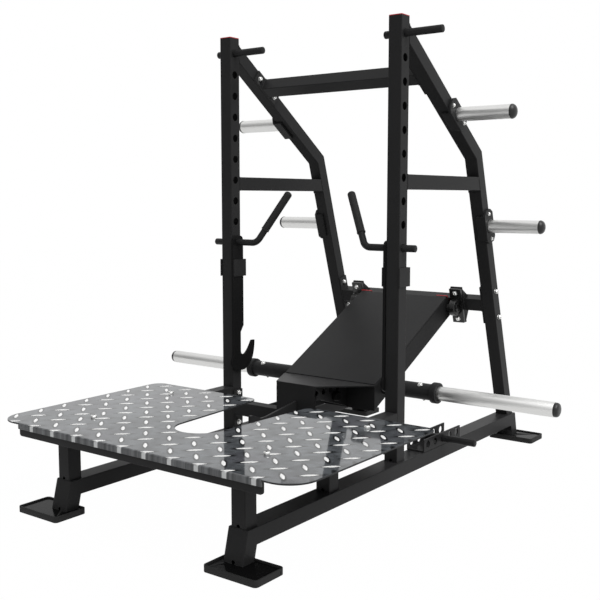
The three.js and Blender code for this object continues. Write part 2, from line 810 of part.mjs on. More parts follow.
const pivotReach = new THREE.Vector2(pivotLocalY, 0).rotateAround(new THREE.Vector2(), rearLegAngle);
const pivotCentre = pivotBeamCentre.clone().add(pivotReach);
const weightCentre = new THREE.Vector2(weightShaftY, weightShaftZ);
const armDirection = weightCentre.clone().sub(pivotCentre).normalize();
const armEnd = pivotCentre.clone().addScaledVector(armDirection, -leverEndReach);
const armPath = [pivotCentre, weightCentre];
const armEndCut = { point: armEnd, along: new THREE.Vector2(-armDirection.y, armDirection.x) };
const armPastEnd = { point: armEnd.clone().addScaledVector(armDirection, -overrun), along: armEndCut.along };
const armBottom = lineThrough(pivotCentre, weightCentre, leverTubeDepth / 2);
const coverBottom = lineThrough(pivotCentre, weightCentre, -leverTubeDepth / 2 - clearance);
const coverTop = lineThrough(pivotCentre, weightCentre, -leverTubeDepth / 2 - clearance - coverThickness);
const wallTop = meet(coverTop, lineAtY(leverFrontY));
const wallBottom = meet(armBottom, lineAtY(leverFrontY));

function leverTube(centreX) {
  return bentTube({
    path: armPath,
    depth: leverTubeDepth,
    width: leverTubeWidth,
    centreX,
    ends: [armEndCut, lineAtY(leverFrontY)],
    pastEnds: [armPastEnd, lineAtY(leverFrontY + leverPlate)],
  });
}

// the tapering top plate of the nose, as wide as the lever at its rear and narrow at its tip
function noseTop() {
  const rearZ = wallTop.y;
  const outline = [
    new THREE.Vector2(leverFrontY, rearZ),
    new THREE.Vector2(leverFrontY, rearZ - leverPlate),
    new THREE.Vector2(noseTipY, noseTipZ - leverPlate),
    new THREE.Vector2(noseTipY, noseTipZ),
  ];
  const slab = sideSolid(outline.reverse(), -leverHalfWidth, leverHalfWidth);
  const taper = new THREE.Shape([
    new THREE.Vector2(-leverHalfWidth, leverFrontY),
    new THREE.Vector2(-noseHalfWidth, noseTipY),
    new THREE.Vector2(noseHalfWidth, noseTipY),
    new THREE.Vector2(leverHalfWidth, leverFrontY),
  ]);
  return slab.intersect(planSolid(taper, 0, noseTipZ + overrun));
}

const noseTopLine = lineThrough(
  new THREE.Vector2(noseTipY, noseTipZ), new THREE.Vector2(leverFrontY, wallTop.y), -leverPlate / 2);
const noseHoles = [];
for (let i = 0; i < noseHoleCount; i += 1) {
  noseHoles.push(noseTipY + firstNoseHoleSetback + i * noseHolePitch);
}

function noseCheek(xLow, xHigh) {
  return sideSolid([
    new THREE.Vector2(noseTipY, cheekFrontBottomZ),
    new THREE.Vector2(cheekStepY, cheekFrontBottomZ),
    new THREE.Vector2(leverFrontY, cheekRearBottomZ),
    meet(noseTopLine, lineAtY(leverFrontY)),
    meet(noseTopLine, lineAtY(noseTipY)),
  ], xLow, xHigh);
}

function leverFrame() {
  const tubeCentre = leverHalfWidth - leverTubeWidth / 2;
  const cheekOuter = noseHalfWidth - leverPlate / 2;
  const wall = block(
    [-leverHalfWidth, leverHalfWidth],
    [leverFrontY, leverFrontY + leverPlate],
    [wallBottom.y, wallTop.y]);
  const front = block(
    [-noseHalfWidth, noseHalfWidth],
    [noseTipY, noseTipY + leverPlate],
    [noseFrontBottomZ, meet(noseTopLine, lineAtY(noseTipY)).y]);
  const body = joined([
    leverTube(-tubeCentre), leverTube(tubeCentre), wall, front, noseTop(),
    noseCheek(-cheekOuter, leverPlate - cheekOuter), noseCheek(cheekOuter - leverPlate, cheekOuter),
  ]);
  const past = leverHalfWidth + overrun;
  const hookHalf = hookPlateThickness / 2 + clearance;
  const shaftBore = boreRadius(weightShaftRadius, barSides);
  return cutBy(body, [
    rodAlongX(-past, past, weightCentre.x, weightCentre.y, shaftBore, barSides),
    rodAlongX(-past, past, pivotCentre.x, pivotCentre.y, boreRadius(pivotShaftRadius)),
    rodAlongX(-past, past, hookPinY, hookPinZ, boreRadius(hookPinRadius)),
    block([-hookHalf, hookHalf], [noseTipY - overrun, noseTipY + leverPlate + overrun],
      [noseFrontBottomZ - overrun, hookNeckZ + clearance]),
    ...noseHoles.map(y => rodAlongX(-past, past, y, noseHoleZ, noseHoleRadius)),
  ]);
}

const lever = new THREE.Group();
machine.add(lever);
add('lever_frame', leverFrame(), powderCoat, lever);

// the cover sheet lies on both side tubes and stops short of their ends between them
function leverCover() {
  const start = lineAtY(leverFrontY + leverPlate + clearance);
  const outline = [
    meet(coverBottom, armEndCut),
    meet(coverTop, armEndCut),
    meet(coverTop, start),
    meet(coverBottom, start),
  ];
  const half = leverHalfWidth - coverInset;
  const gapHalf = leverHalfWidth - leverTubeWidth;
  const notchStart = armEnd.clone().addScaledVector(armDirection, coverNotchDepth);
  const notchCut = { point: notchStart, along: armEndCut.along };
  const notchLow = lineThrough(pivotCentre, weightCentre, -leverTubeDepth / 2 + overrun);
  const notchHigh = lineThrough(pivotCentre, weightCentre, -leverTubeDepth / 2 - coverThickness - overrun);
  const notch = [
    meet(notchLow, armPastEnd),
    meet(notchHigh, armPastEnd),
    meet(notchHigh, notchCut),
    meet(notchLow, notchCut),
  ];
  return sideSolid(outline, -half, half).subtract(sideSolid(notch, -gapHalf, gapHalf));
}

add('lever_cover', leverCover(), powderCoat, lever);

const pivotShaftEnd = bearingX + bearingBarrelLength / 2 + pivotShaftOverhang;
add('pivot_shaft', rodAlongX(
  -pivotShaftEnd, pivotShaftEnd, pivotCentre.x, pivotCentre.y, pivotShaftRadius), chrome, lever);

// Weight shaft: a tube across the lever with a collar at each end, and a sleeve in each end

const sleeveSeatRadius = boreRadius(sleeveRadius, barSides);

function weightShaft() {
  const profile = [
    [sleeveSeatRadius, -weightCollarEndX],
    [weightCollarRadius, -weightCollarEndX],
    [weightCollarRadius, -weightCollarStartX],
    [weightShaftRadius, -weightCollarStartX],
    [weightShaftRadius, weightCollarStartX],
    [weightCollarRadius, weightCollarStartX],
    [weightCollarRadius, weightCollarEndX],
    [sleeveSeatRadius, weightCollarEndX],
    [sleeveSeatRadius, -weightCollarEndX],
  ];
  return geometryOf(turnedAboutX(profile));
}

function weightSleeve() {
  const inner = sleeveRadius - sleeveWall;
  const start = weightCollarStartX - sleeveStubLength;
  return geometryOf(turnedAboutX([
    [inner, start],
    [sleeveRadius, start],
    [sleeveRadius, sleeveEndX],
    [inner, sleeveEndX],
    [inner, start],
  ]));
}

function sleeveCap() {
  const plug = (sleeveRadius - sleeveWall - clearance) * Math.cos(Math.PI / barSides);
  const start = sleeveEndX + clearance;
  const length = sleeveCapLength - clearance;
  const domeShares = [[1, 0.45], [0.9, 0.72], [0.7, 0.9], [0.4, 0.98]];
  return geometryOf(turnedAboutX([
    [0, start - sleeveCapPlug],
    [plug, start - sleeveCapPlug],
    [plug, start],
    [sleeveRadius, start],
    ...domeShares.map(([across, along]) => [sleeveRadius * across, start + length * along]),
    [0, start + length],
  ]));
}

add('weight_shaft', weightShaft(), powderCoat, lever).position.set(0, weightCentre.x, weightCentre.y);
const sleeveGeometry = weightSleeve();
const sleeveCapGeometry = sleeveCap();
for (const [side, sign] of sides) {
  const sleeve = sign > 0 ? sleeveGeometry : mirrored(sleeveGeometry);
  const cap = sign > 0 ? sleeveCapGeometry : mirrored(sleeveCapGeometry);
  add(`weight_sleeve_${side}`, sleeve, chrome, lever).position.set(0, weightCentre.x, weightCentre.y);
  add(`sleeve_cap_${side}`, cap, blackPlastic, lever).position.set(0, weightCentre.x, weightCentre.y);
}

// Belt hook: a plate through the nose, held by a cross pin, with its tip turned up

function beltHook() {
  const outline = new THREE.Shape([
    new THREE.Vector2(hookTipY, hookTipZ),
    new THREE.Vector2(hookTipY, hookBottomZ + hookTipWidth),
    new THREE.Vector2(hookTipY + hookTipWidth, hookBottomZ),
    new THREE.Vector2(noseTipY - overrun, hookBottomZ),
    new THREE.Vector2(noseTipY + leverPlate + overrun, hookHeelZ),
    new THREE.Vector2(hookHeelY, hookHeelZ),
    new THREE.Vector2(hookHeelY, hookRootZ),
    new THREE.Vector2(hookPinY - hookPinHeadRadius - hookTipWidth, hookRootZ),
    new THREE.Vector2(noseTipY + leverPlate + overrun, hookNeckZ),
    new THREE.Vector2(noseTipY, hookNeckZ),
    new THREE.Vector2(hookSeatY + hookTipWidth, hookSeatZ),
    new THREE.Vector2(hookSeatY - hookTipWidth, hookSeatZ),
    new THREE.Vector2(hookTipY + hookTipWidth, hookTipZ),
  ]);
  const half = hookPlateThickness / 2;
  const past = half + overrun;
  return sideSolid(outline, -half, half)
    .subtract(rodAlongX(-past, past, hookPinY, hookPinZ, boreRadius(hookPinRadius)));
}

add('belt_hook', beltHook(), powderCoat, lever);

const cheekFaceX = noseHalfWidth - leverPlate / 2 + clearance;
add('hook_pin', joined([
  rodAlongX(-cheekFaceX - hookPinTail, cheekFaceX, hookPinY, hookPinZ, hookPinRadius),
  rodAlongX(cheekFaceX, cheekFaceX + hookPinHeadLength, hookPinY, hookPinZ, hookPinHeadRadius, barSides),
]), blackPlastic, lever);

// the rubber block on the low cross beam that the belt hook comes down on
const stopBottomZ = lowBeamZ + tubeSize / 2 + clearance;
add('lever_stop', block(
  [-stopHalfWidth, stopHalfWidth],
  [stopMargin, tubeSize - stopMargin],
  [stopBottomZ, hookHeelZ - clearance]), rubber);

// Swinging hooks on the inner faces of the uprights

const hookFaceX = tubeInnerX - clearance;
const hookInnerX = hookFaceX - hookBarThickness;

function hookBar() {
  const front = holeY - hookBarWidth / 2;
  const rear = holeY + hookBarWidth / 2;
  const top = hookHoleZ + hookBarRise;
  const corner = hookCornerRadius;
  const jawFront = front - jawFrontBulge;
  const jawRear = hookTipReachY - jawRearInset;
  const throatHalf = hookThroatLowY - hookThroatFrontY;
  const shape = new THREE.Shape();
  shape.moveTo(front, top - corner);
  shape.lineTo(front, hookThroatZ);
  shape.quadraticCurveTo(jawFront, (hookThroatZ + jawFrontZ) / 2, jawFront, jawFrontZ);
  shape.quadraticCurveTo(jawFront, hookBarBottomZ, jawLowY, hookBarBottomZ);
  shape.quadraticCurveTo((jawLowY + hookTipReachY) / 2, hookBarBottomZ, jawRear, jawRearZ);
  shape.quadraticCurveTo(hookTipReachY, (jawRearZ + hookTipRiseZ) / 2, hookTipReachY, hookTipRiseZ);
  shape.lineTo(hookTipReachY - hookTipThickness, hookTipRiseZ);
  shape.quadraticCurveTo(hookThroatLowY + throatHalf, hookThroatZ, hookThroatLowY, hookThroatZ);
  shape.quadraticCurveTo(hookThroatFrontY, hookThroatZ, hookThroatFrontY, hookThroatZ + throatHalf);
  shape.lineTo(hookThroatFrontY, hookTaperBottomZ);
  shape.lineTo(rear, hookTaperTopZ);
  shape.lineTo(rear, top - corner);
  shape.quadraticCurveTo(rear, top, rear - corner, top);
  shape.lineTo(front + corner, top);
  shape.quadraticCurveTo(front, top, front, top - corner);
  const hole = rodAlongX(
    hookInnerX - overrun, hookFaceX + overrun, holeY, hookHoleZ, boreRadius(handleRodRadius));
  return sideSolid(shape, hookInnerX, hookFaceX).subtract(hole);
}

// the saddle that the hook bar carries round the back of the upright
function hookGuide() {
  const innerX = hookInnerX - clearance - guideThickness;
  const outerX = tubeOuterX + clearance + guideThickness;
  const topZ = hookHoleZ - guideDrop;
  const bottomZ = topZ - guideHeight;
  const rearY = tubeSize + guideRearGap;
  const outer = block([innerX, outerX], [-guideFrontOverhang, rearY + guideThickness], [bottomZ, topZ]);
  return outer.subtract(block(
    [innerX + guideThickness, outerX - guideThickness],
    [-guideFrontOverhang - overrun, rearY],
    [bottomZ - overrun, topZ + overrun]));
}

// the rod through the upright, bent up and in to the grip
const handleOuter = new THREE.Vector3(tubeOuterX + handleStub, holeY, hookHoleZ);
const handleElbow = new THREE.Vector3(tubeInnerX - handleElbowInset, holeY, hookHoleZ);
const handleTip = new THREE.Vector3(
  handleElbow.x - handleTipInset, holeY + handleTipSetback, hookHoleZ + handleTipRise);
const gripDirection = handleTip.clone().sub(handleElbow).normalize();

function handleRod() {
  const elbow = new THREE.SphereGeometry(handleRodRadius, rodSides, rodSides / 2);
  elbow.translate(handleElbow.x, handleElbow.y, handleElbow.z);
  const end = handleTip.clone().addScaledVector(gripDirection, -gripEndWall - clearance);
  return joined([
    rodBetween(handleOuter, handleElbow, handleRodRadius),
    solidOf(elbow),
    rodBetween(handleElbow, end, handleRodRadius),
  ]);
}

function handleGrip() {
  const start = handleTip.clone().addScaledVector(gripDirection, -gripLength);
  const boreStart = start.clone().addScaledVector(gripDirection, -overrun);
  const boreEnd = handleTip.clone().addScaledVector(gripDirection, -gripEndWall);
  return rodBetween(start, handleTip, gripRadius + clearance)
    .subtract(rodBetween(boreStart, boreEnd, boreRadius(handleRodRadius)));
}

const hookPieces = [
  ['hook_bar', geometryOf(hookBar()), powderCoat],
  ['hook_guide', geometryOf(hookGuide()), powderCoat],
  ['hook_handle', geometryOf(handleRod()), powderCoat],
  ['hook_grip', geometryOf(handleGrip()), rubber],
];
for (const [side, sign] of sides) {
  const hook = new THREE.Group();
  machine.add(hook);
  for (const [name, geometry, material] of hookPieces) {
    add(`${name}_${side}`, sign > 0 ? geometry : mirrored(geometry), material, hook);
  }
}

// The origin is on the floor, under the middle of the machine
const frontEndY = padFrontY - padDepth / 2;
const rearEndY = padRearY + padDepth / 2;
machine.position.y = -(frontEndY + rearEndY) / 2;

export default machine;
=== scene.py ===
"""Belt squat machine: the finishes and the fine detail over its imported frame."""

import math

import bmesh
import bpy
import numpy as np
from bpy.props import FloatProperty, FloatVectorProperty, PointerProperty
from bpy.types import Operator, Panel, PropertyGroup
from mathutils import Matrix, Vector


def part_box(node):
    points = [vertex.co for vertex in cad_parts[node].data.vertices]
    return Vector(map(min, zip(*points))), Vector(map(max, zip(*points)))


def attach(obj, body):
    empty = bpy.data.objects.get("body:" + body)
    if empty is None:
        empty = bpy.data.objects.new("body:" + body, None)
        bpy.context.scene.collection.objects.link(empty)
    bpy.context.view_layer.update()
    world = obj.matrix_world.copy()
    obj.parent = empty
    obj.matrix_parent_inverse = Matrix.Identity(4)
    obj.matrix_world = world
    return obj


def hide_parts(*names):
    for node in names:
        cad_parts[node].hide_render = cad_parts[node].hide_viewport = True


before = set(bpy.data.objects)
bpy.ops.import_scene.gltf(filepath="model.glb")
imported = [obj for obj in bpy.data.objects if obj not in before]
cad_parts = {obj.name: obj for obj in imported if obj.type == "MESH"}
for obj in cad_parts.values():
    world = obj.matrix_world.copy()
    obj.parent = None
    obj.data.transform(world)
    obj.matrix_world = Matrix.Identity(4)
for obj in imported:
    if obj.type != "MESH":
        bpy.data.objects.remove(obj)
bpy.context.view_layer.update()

bl_info = {
    "name": "Belt squat machine",
    "version": (1, 0, 0),
    "blender": (4, 5, 0),
    "location": "View3D > Sidebar > Squat",
    "description": "Dresses a plate loaded belt squat machine with its finishes and fine detail",
    "category": "Object",
}

# Lengths are in millimetres, in the frame's axes, and become metres where a mesh is made
MM = 0.001
WELD_DISTANCE = 0.001
CLEARANCE = 0.3
OVERRUN = 8

# Steps of round forms
ROUND_SIDES = 48
ROD_SIDES = 32
FASTENER_SIDES = 24
BEAD_SIDES = 8
CORNER_STEPS = 6
OUTLINE_STEPS = 24
BEND_STEPS = 14

# Rounding of edges, in metres where a modifier takes it
EDGE_SHARE = 0.13
EDGE_TURN = math.radians(30)
BEVEL_TURN = math.radians(50)
FLAT_TURN = math.radians(0.6)
EDGE_SEGMENTS = 3
RIM_SEGMENTS = 2
EVEN_SHADING_WEIGHT = 80
SHARP_TURN = math.radians(38)
LUG_SHARP_TURN = math.radians(60)
WELD_SHARP_TURN = math.radians(80)
BEARING_EDGE = 2.2 * MM
BRACKET_EDGE = 1.6 * MM
BELT_HOOK_EDGE = 1.4 * MM
STOP_EDGE = 2.5 * MM
HOOK_BAR_EDGE = 1.2 * MM
HOOK_GUIDE_EDGE = 1.0 * MM

# Side frames
TUBE = 50
TUBE_HALF = TUBE / 2
TUBE_WALL = 3
FRAME_X = 364
INNER_X = FRAME_X - TUBE_HALF
OUTER_X = FRAME_X + TUBE_HALF
RAIL_TOP_Z = 109
UPRIGHT_FRONT_Y = -68.5
UPRIGHT_REAR_Y = UPRIGHT_FRONT_Y + TUBE
HOLE_Y = UPRIGHT_FRONT_Y + TUBE_HALF
HOLE_RADIUS = 13.5
HOLE_PITCH = 77.33
HOLE_COUNT = 10
TOP_HOLE_Z = 1529.5
VENT_RADIUS = 6
VENT_RISE = 4
UPRIGHT_CAP_SEAT = 3
UPRIGHT_CAP_CORNER = 2.5
LEVEL_FACE = 0.9
REAR_START = np.array([UPRIGHT_REAR_Y, 1531.5])
REAR_BEND = np.array([507.5, 1159])
REAR_FOOT = np.array([839.5, RAIL_TOP_Z])
SIDE_BAR_Z = 1052.5

# Cross beams, their flanges and the bearings
UPPER_BEAM_Y = 139
LOW_BEAM_Z = 199.5
PIVOT_BEAM_Z = 580
FLANGE_THICKNESS = 6
FLANGE_INNER_X = INNER_X - CLEARANCE - FLANGE_THICKNESS
HEAD_BAND = 8
HEAD_CLEAR = 1
UPPER_BOLT_OFFSET = 52
LOW_BOLT_OFFSET = 57.5
PIVOT_BOLT_OFFSET = 55
BEARING_X = 234.5
BEARING_BOLT_OFFSET = 54.5
BEARING_FACE_Y = -46.3
BEARING_BARREL_HALF = 13

# Fasteners
BOLT_RADIUS = 8.4
BOLT_HEIGHT = 6.8
SOCKET_SHARE = 0.42
WASHER_SHARE = 1.16
WASHER_THICKNESS = 1.2
NUT_RADIUS = 8.6
NUT_HEIGHT = 8
THREAD_RADIUS = 5
THREAD_LENGTH = 4
SEAT_OVERLAP = 0.1
SHAFT_HEAD_RADIUS = 8
SHAFT_HEAD_HEIGHT = 5
SHAFT_NUT_RADIUS = 6.5
BRACKET_HEAD_RADIUS = 6.2
BRACKET_HEAD_HEIGHT = 5
SCREW_RADIUS = 10
SCREW_HEIGHT = 9
SCREW_SOCKET_RADIUS = 4.5
SCREW_SINK = 0.2

# Foot pads
PAD_RIM = 5
PAD_FLOOR_Z = 9
PAD_HEIGHT = 20
PAD_ROUNDING = 1.2
PAD_CORNER = 12
PAD_SLOT_WIDTH = 4
PAD_SLOT_HEIGHT = 11
PAD_SLOT_SETBACK = 16

# Platform
TREAD_TOP_Z = 286
TREAD_THICKNESS = 5
TREAD_HALF_WIDTH = 613
TREAD_FRONT_Y = -926.5
TREAD_REAR_Y = -192.5
TREAD_FRONT_RADIUS = 86
TREAD_REAR_RADIUS = 42
LIP_HALF_WIDTH = 500
LIP_BOTTOM_Z = 266.5
LIP_BEND = 5.5
SHEET_EDGE = 0.8
NOTCH_RADIUS = 86
NOTCH_CENTRE_Y = -606.5
NOTCH_MOUTH_HALF_WIDTH = 110
NOTCH_CORNER_RADIUS = 38
LUG_LENGTH = 52
LUG_WIDTH = 12.5
LUG_SINK = 0.4
LUG_PITCH_X = 100.9
LUG_PITCH_Y = 98.5
LUG_ORIGIN = np.array([21, -871])
LUG_SHIFT = np.array([50.4, -49.3])
LUG_REACH = 8
LUG_RING_SIDES = 12
LUG_TRIM_DEPTH = 2
LUG_LEAN = math.radians(135)
SOFT_LUG_LEAN = math.radians(45)
PLATE_SCREWS = ((426.6, -313.5), (363, -732.5))

# Storage horns, sleeves and pegs
HORN_CAP_LENGTH = 19
HORN_CAP_STEP = 0.7
HORN_CAP_RING = 4
HORN_CAP_TURNS = np.linspace(0.15, 1.4, 8)
SLEEVE_CAP_INSET = 1
SLEEVE_CAP_SHARE = 0.57
END_ROUNDING = 2.5
SHAFT_END_ROUNDING = 1.5
SLEEVE_END_ROUNDING = 1.2
BRACKET_FACE_X = 399.3
BRACKET_BOLT_OFFSET = 50

# Weight shaft
COLLAR_START_X = 404
COLLAR_END_X = 427
COLLAR_RADIUS = 37
SHAFT_RADIUS = 29
SLEEVE_RADIUS = 25
SHAFT_BOLT_X = 358
COLLAR_ROUNDING = 2

# Lever
LEVER_END_HALF = 25
LEVER_DEPTH_HALF = 40
LEVER_TUBE_X = 180
LEVER_END_REACH = 17
PIVOT_CENTRE = np.array([629.266, 560.615])
WEIGHT_CENTRE = np.array([151.5, 316.5])
COVER_RISE = 4.6
PLUG_PROUD = 0.4
PLUG_END = 0.8
PLUG_WRAP = 4
PLUG_CORNER = 1

# Belt hook pin
PIN_RADIUS = 10
PIN_HEAD_LENGTH = 20

# Catch hooks
HANDLE_Z = 833.53
HANDLE_OUTER_X = 437
HANDLE_ELBOW_X = 239
HANDLE_TIP = np.array([135, 23.5, 1020.5])
HANDLE_RADIUS = 12
HANDLE_BEND = 34
ROD_END_DEPTH = 6
GRIP_RADIUS = 14.3
GRIP_LENGTH = 168
GRIP_RING = 0.9
GRIP_RING_LENGTH = 5
GRIP_TIP_SHARE = 0.75
GRIP_TIP_TURNS = np.linspace(0.2, 1.45, 7)

# Welds
WELD_PITCH = 3.6
WELD_RIPPLE_SHARE = 0.14
RIPPLE_STEPS = 4
HORN_WELD_RIPPLES = 44

# Sides, axes and the full turn
SIDES = (("left", -1), ("right", 1))
X_AXIS = np.array([1.0, 0.0, 0.0])
Y_AXIS = np.array([0.0, 1.0, 0.0])
Z_AXIS = np.array([0.0, 0.0, 1.0])
FULL_TURN = 2 * math.pi

# Stage: the surroundings are dim round one direction, from the first cosine to the second
DIM_DIRECTION = (-0.6, -0.8, 0.08)
DIM_CONE = (0.55, 0.95)
KEY_DIRECTION = (0.55, -0.12, 0.82)
KEY_SPREAD = math.radians(50)
FILL_DIRECTION = (-0.3, -0.75, 0.5)
FILL_SPREAD = math.radians(70)
LENS = 55.58
SENSOR_WIDTH = 36
CAMERA_PLACE = (1.9547, -2.7029, 1.0002)
CAMERA_TILT = math.radians(83.7)
CAMERA_TURN = math.radians(36.84)

# Colours and finish details that no setting holds
WHITE = (1, 1, 1, 1)
BLACK = (0, 0, 0, 1)
FLOOR_COLOURS = ((0.80, 0.80, 0.80, 1), (0.82, 0.82, 0.82, 1))
FLOOR_SCATTER = (0.62, 0.62, 0.62, 1)
FLOOR_GLOW = 0.95
COAT_TONES = (0.85, 1.2)
PEEL_DEPTH = 0.12 * MM
PLATED_TONES = (0.96, 1.03)
POLISH_STRETCH = (3, 260, 260)
TREAD_TONES = (0.45, 1.5)
# Share of the tread colour on the sheet's edge faces, and in the painted shade round each lug
TREAD_EDGE_AND_SHADE_SHARE = 0.12
TREAD_WARM = (0.07, 0.062, 0.078, 1)
WARM_SPAN = (0.45, 0.7)
WARM_SHARE = 0.35
MOTTLE_SPAN = (0.3, 0.7)
TREAD_TINT = (0.94, 0.98, 1.0, 1)
# Span of the painted shade round each lug
LUG_SHADE_RING = (1.3, 3.8)
LIP_STRETCH = (60, 0.01, 0.01)
# Painted highlight of the lugs on the lip, and the distances from a lug's line where it fades out
LIP_LUG_HIGHLIGHT = (0.55, 0.56, 0.56, 1)
LIP_LUG_HIGHLIGHT_EDGE = (6.5, 9.5)
LIP_BANDS = ((0.035, 0.036, 0.038, 1), (0.14, 0.145, 0.15, 1))


# Settings that a user would change


def length_setting(name, description, default):
    return FloatProperty(name=name, description=description, default=default, unit="LENGTH")


def share_setting(name, description, default):
    return FloatProperty(name=name, description=description, default=default, subtype="FACTOR")


def colour_setting(name, description, *default):
    return FloatVectorProperty(
        name=name, description=description, subtype="COLOR", size=4, default=(*default, 1))


class MachineSizes(PropertyGroup):
    tube_corner: length_setting(
        "Tube corner", "Radius of the long corners of the square tubes", 2.4 * MM)
    weld_radius: length_setting("Weld radius", "Radius of the weld beads", 1.3 * MM)
    lug_height: length_setting(
        "Lug height", "How far the tread lugs stand up from the plate", 1.8 * MM)
    rim_edge: length_setting(
        "Rim edge", "Rounding at the rims of drilled holes and tube ends", 0.7 * MM)


class MachineFinishes(PropertyGroup):
    coat_colour: colour_setting("Coat colour", "Colour of the powder coat", 0.020, 0.020, 0.0204)
    coat_gloss: share_setting("Coat gloss", "Specular level of the powder coat", 0.08)
    coat_roughness: share_setting("Coat roughness", "Roughness of the powder coat", 0.42)
    chrome_colour: colour_setting(
        "Chrome colour", "Colour of the plated sleeves and horns", 0.70, 0.70, 0.69)
    chrome_roughness: share_setting(
        "Chrome roughness", "Roughness of the plated sleeves and horns", 0.38)
    tread_colour: colour_setting(
        "Tread colour", "Colour of the tread plate's sheet", 0.080, 0.087, 0.094)
    # The lug colour is a painted highlight: the steel lugs are coloured near white as they catch the
    # light on their tops
    lug_highlight_colour: colour_setting("Lug colour", "Colour of the bright tread lugs", 0.92, 0.92, 0.91)
    rubber_colour: colour_setting(
        "Rubber colour", "Colour of the foot pads and the grips", 0.012, 0.012, 0.012)
    plastic_colour: colour_setting(
        "Plastic colour", "Colour of the black end caps", 0.008, 0.008, 0.008)
    red_colour: colour_setting("Red colour", "Colour of the red caps and plugs", 0.42, 0.012, 0.02)


class MachineStage(PropertyGroup):
    key_strength: FloatProperty(
        name="Key strength", description="Strength of the high light on the right", default=2.4)
    fill_strength: FloatProperty(
        name="Fill strength", description="Strength of the soft light from the front", default=0.35)
    ambient: FloatProperty(
        name="Ambient", description="Strength of the light from all round", default=0.42)
    dim_side: share_setting(
        "Dim side", "How dark the surroundings are low on the front left", 0.85)
    floor_size: length_setting("Floor size", "Width of the floor", 24)


# Small vector helpers


def unit(vector):
    vector = np.asarray(vector, float)
    return vector / np.linalg.norm(vector)


def corners(node):
    """The lowest and the highest corner of a CAD node, in millimetres."""
    low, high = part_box(node)
    return np.array(low) / MM, np.array(high) / MM


def across(axis):
    """Two directions at right angles to an axis and to each other."""
    helper = X_AXIS if abs(axis[0]) < abs(axis[2]) else Z_AXIS
    first = unit(np.cross(axis, helper))
    return first, np.cross(axis, first)


def side_view(point, x=0.0):
    """A point of the side view, (y, z), at a place along X."""
    return np.array([x, point[0], point[1]])


def point_at(start, end, y=None, z=None):
    """The point of a line of the side view at a given y, or at a given z."""
    part, value = (0, y) if z is None else (1, z)
    share = (value - start[part]) / (end[part] - start[part])
    return start + (end - start) * share


def bar_of(node):
    """A bar along X: where it starts and ends, its radius, and its axis's point at X 0."""
    low, high = corners(node)
    centre = (low + high) / 2
    return low[0], high[0], (high[2] - low[2]) / 2, centre * (Y_AXIS + Z_AXIS)


def near_and_far(start, end):
    """The smaller and the larger distance of a bar's two ends from the middle plane."""
    return sorted((abs(start), abs(end)))


def turn_steps(sides):
    """Even angles round a full turn."""
    return np.arange(sides) * FULL_TURN / sides


# Forms: an array of points in millimetres, and blocks of faces as arrays of point numbers


def ring_quads(rows, columns):
    """Each quad joins a point, the next one in its ring, and the same two in the next ring."""
    ring = np.arange(columns)
    after = np.roll(ring, -1)
    start = np.arange(rows - 1)[:, None] * columns
    quads = [start + ring, start + after, start + columns + after, start + columns + ring]
    return np.stack(quads, axis=-1).reshape(-1, 4)


def rings(points):
    """A form from rings of points, an array (rings, points in a ring, 3)."""
    rows, columns, _ = points.shape
    return points.reshape(-1, 3), [ring_quads(rows, columns)]


def capped(layers):
    """A form from a list of rings, with one face over its first ring and one over its last."""
    points, faces = rings(np.stack(layers))
    first = np.arange(len(layers[0]))
    last = first + len(first) * (len(layers) - 1)
    return points, [*faces, np.stack([first[::-1], last])]


def with_poles(profile):
    """The profile with a point on the axis before its first and after its last row."""
    first, last = profile[0], profile[-1]
    return [(first[0], 0.0), *profile, (last[0], 0.0)]


def turned(profile, origin, axis, sides=ROUND_SIDES, poles=True, hexagons=0):
    """A profile of (distance d, radius r) turned about an axis.

    The point at the angle t is origin + d * axis + r * s(t) * (cos t * u + sin t * v), where u and v
    are at right angles to the axis, and s is 1, or the hexagon's reach on the last few rows.
    """
    rows = with_poles(profile) if poles else profile
    distance, radius = np.array(rows, float).T
    axis = unit(axis)
    first, second = across(axis)
    angle = turn_steps(sides)
    spoke = np.cos(angle)[:, None] * first + np.sin(angle)[:, None] * second
    reach = np.repeat(radius[:, None], sides, axis=1)
    if hexagons:
        reach[-hexagons - 1:] *= hexagon_reach(angle)
    points = np.asarray(origin, float) + distance[:, None, None] * axis + reach[:, :, None] * spoke
    return rings(points)


def hexagon_reach(angle):
    """How far a hexagon of half width 1 reaches at an angle t: 1 / cos(t folded into a sixth)."""
    sixth = math.pi / 3
    folded = np.mod(angle, sixth) - sixth / 2
    return 1 / np.cos(folded)


def path_lengths(path):
    """How far along a path each of its points lies."""
    steps = np.linalg.norm(np.diff(path, axis=0), axis=1)
    return np.concatenate([[0.0], np.cumsum(steps)])


def bent_rod(path, profile, normal):
    """A profile of (distance s, radius r) carried along a path that lies in one plane.

    The point at the angle t is p(s) + r * (cos t * n + sin t * (tangent x n)), where n is the
    plane's normal and the tangent is the path's direction at s.
    """
    lengths = path_lengths(path)
    distance, radius = np.array(with_poles(profile), float).T
    place = on_path(path, lengths, distance)
    tangent = on_path(path, lengths, distance + 1) - on_path(path, lengths, distance - 1)
    tangent /= np.linalg.norm(tangent, axis=1)[:, None]
    side = np.cross(tangent, normal)
    angle = turn_steps(ROD_SIDES)
    spoke = np.cos(angle)[:, None] * normal + np.sin(angle)[:, None] * side[:, None, :]
    return rings(place[:, None, :] + radius[:, None, None] * spoke)


def on_path(path, lengths, distance):
    """Points at distances along a path, straight between its own points."""
    return np.stack([np.interp(distance, lengths, path[:, k]) for k in range(3)], axis=-1)


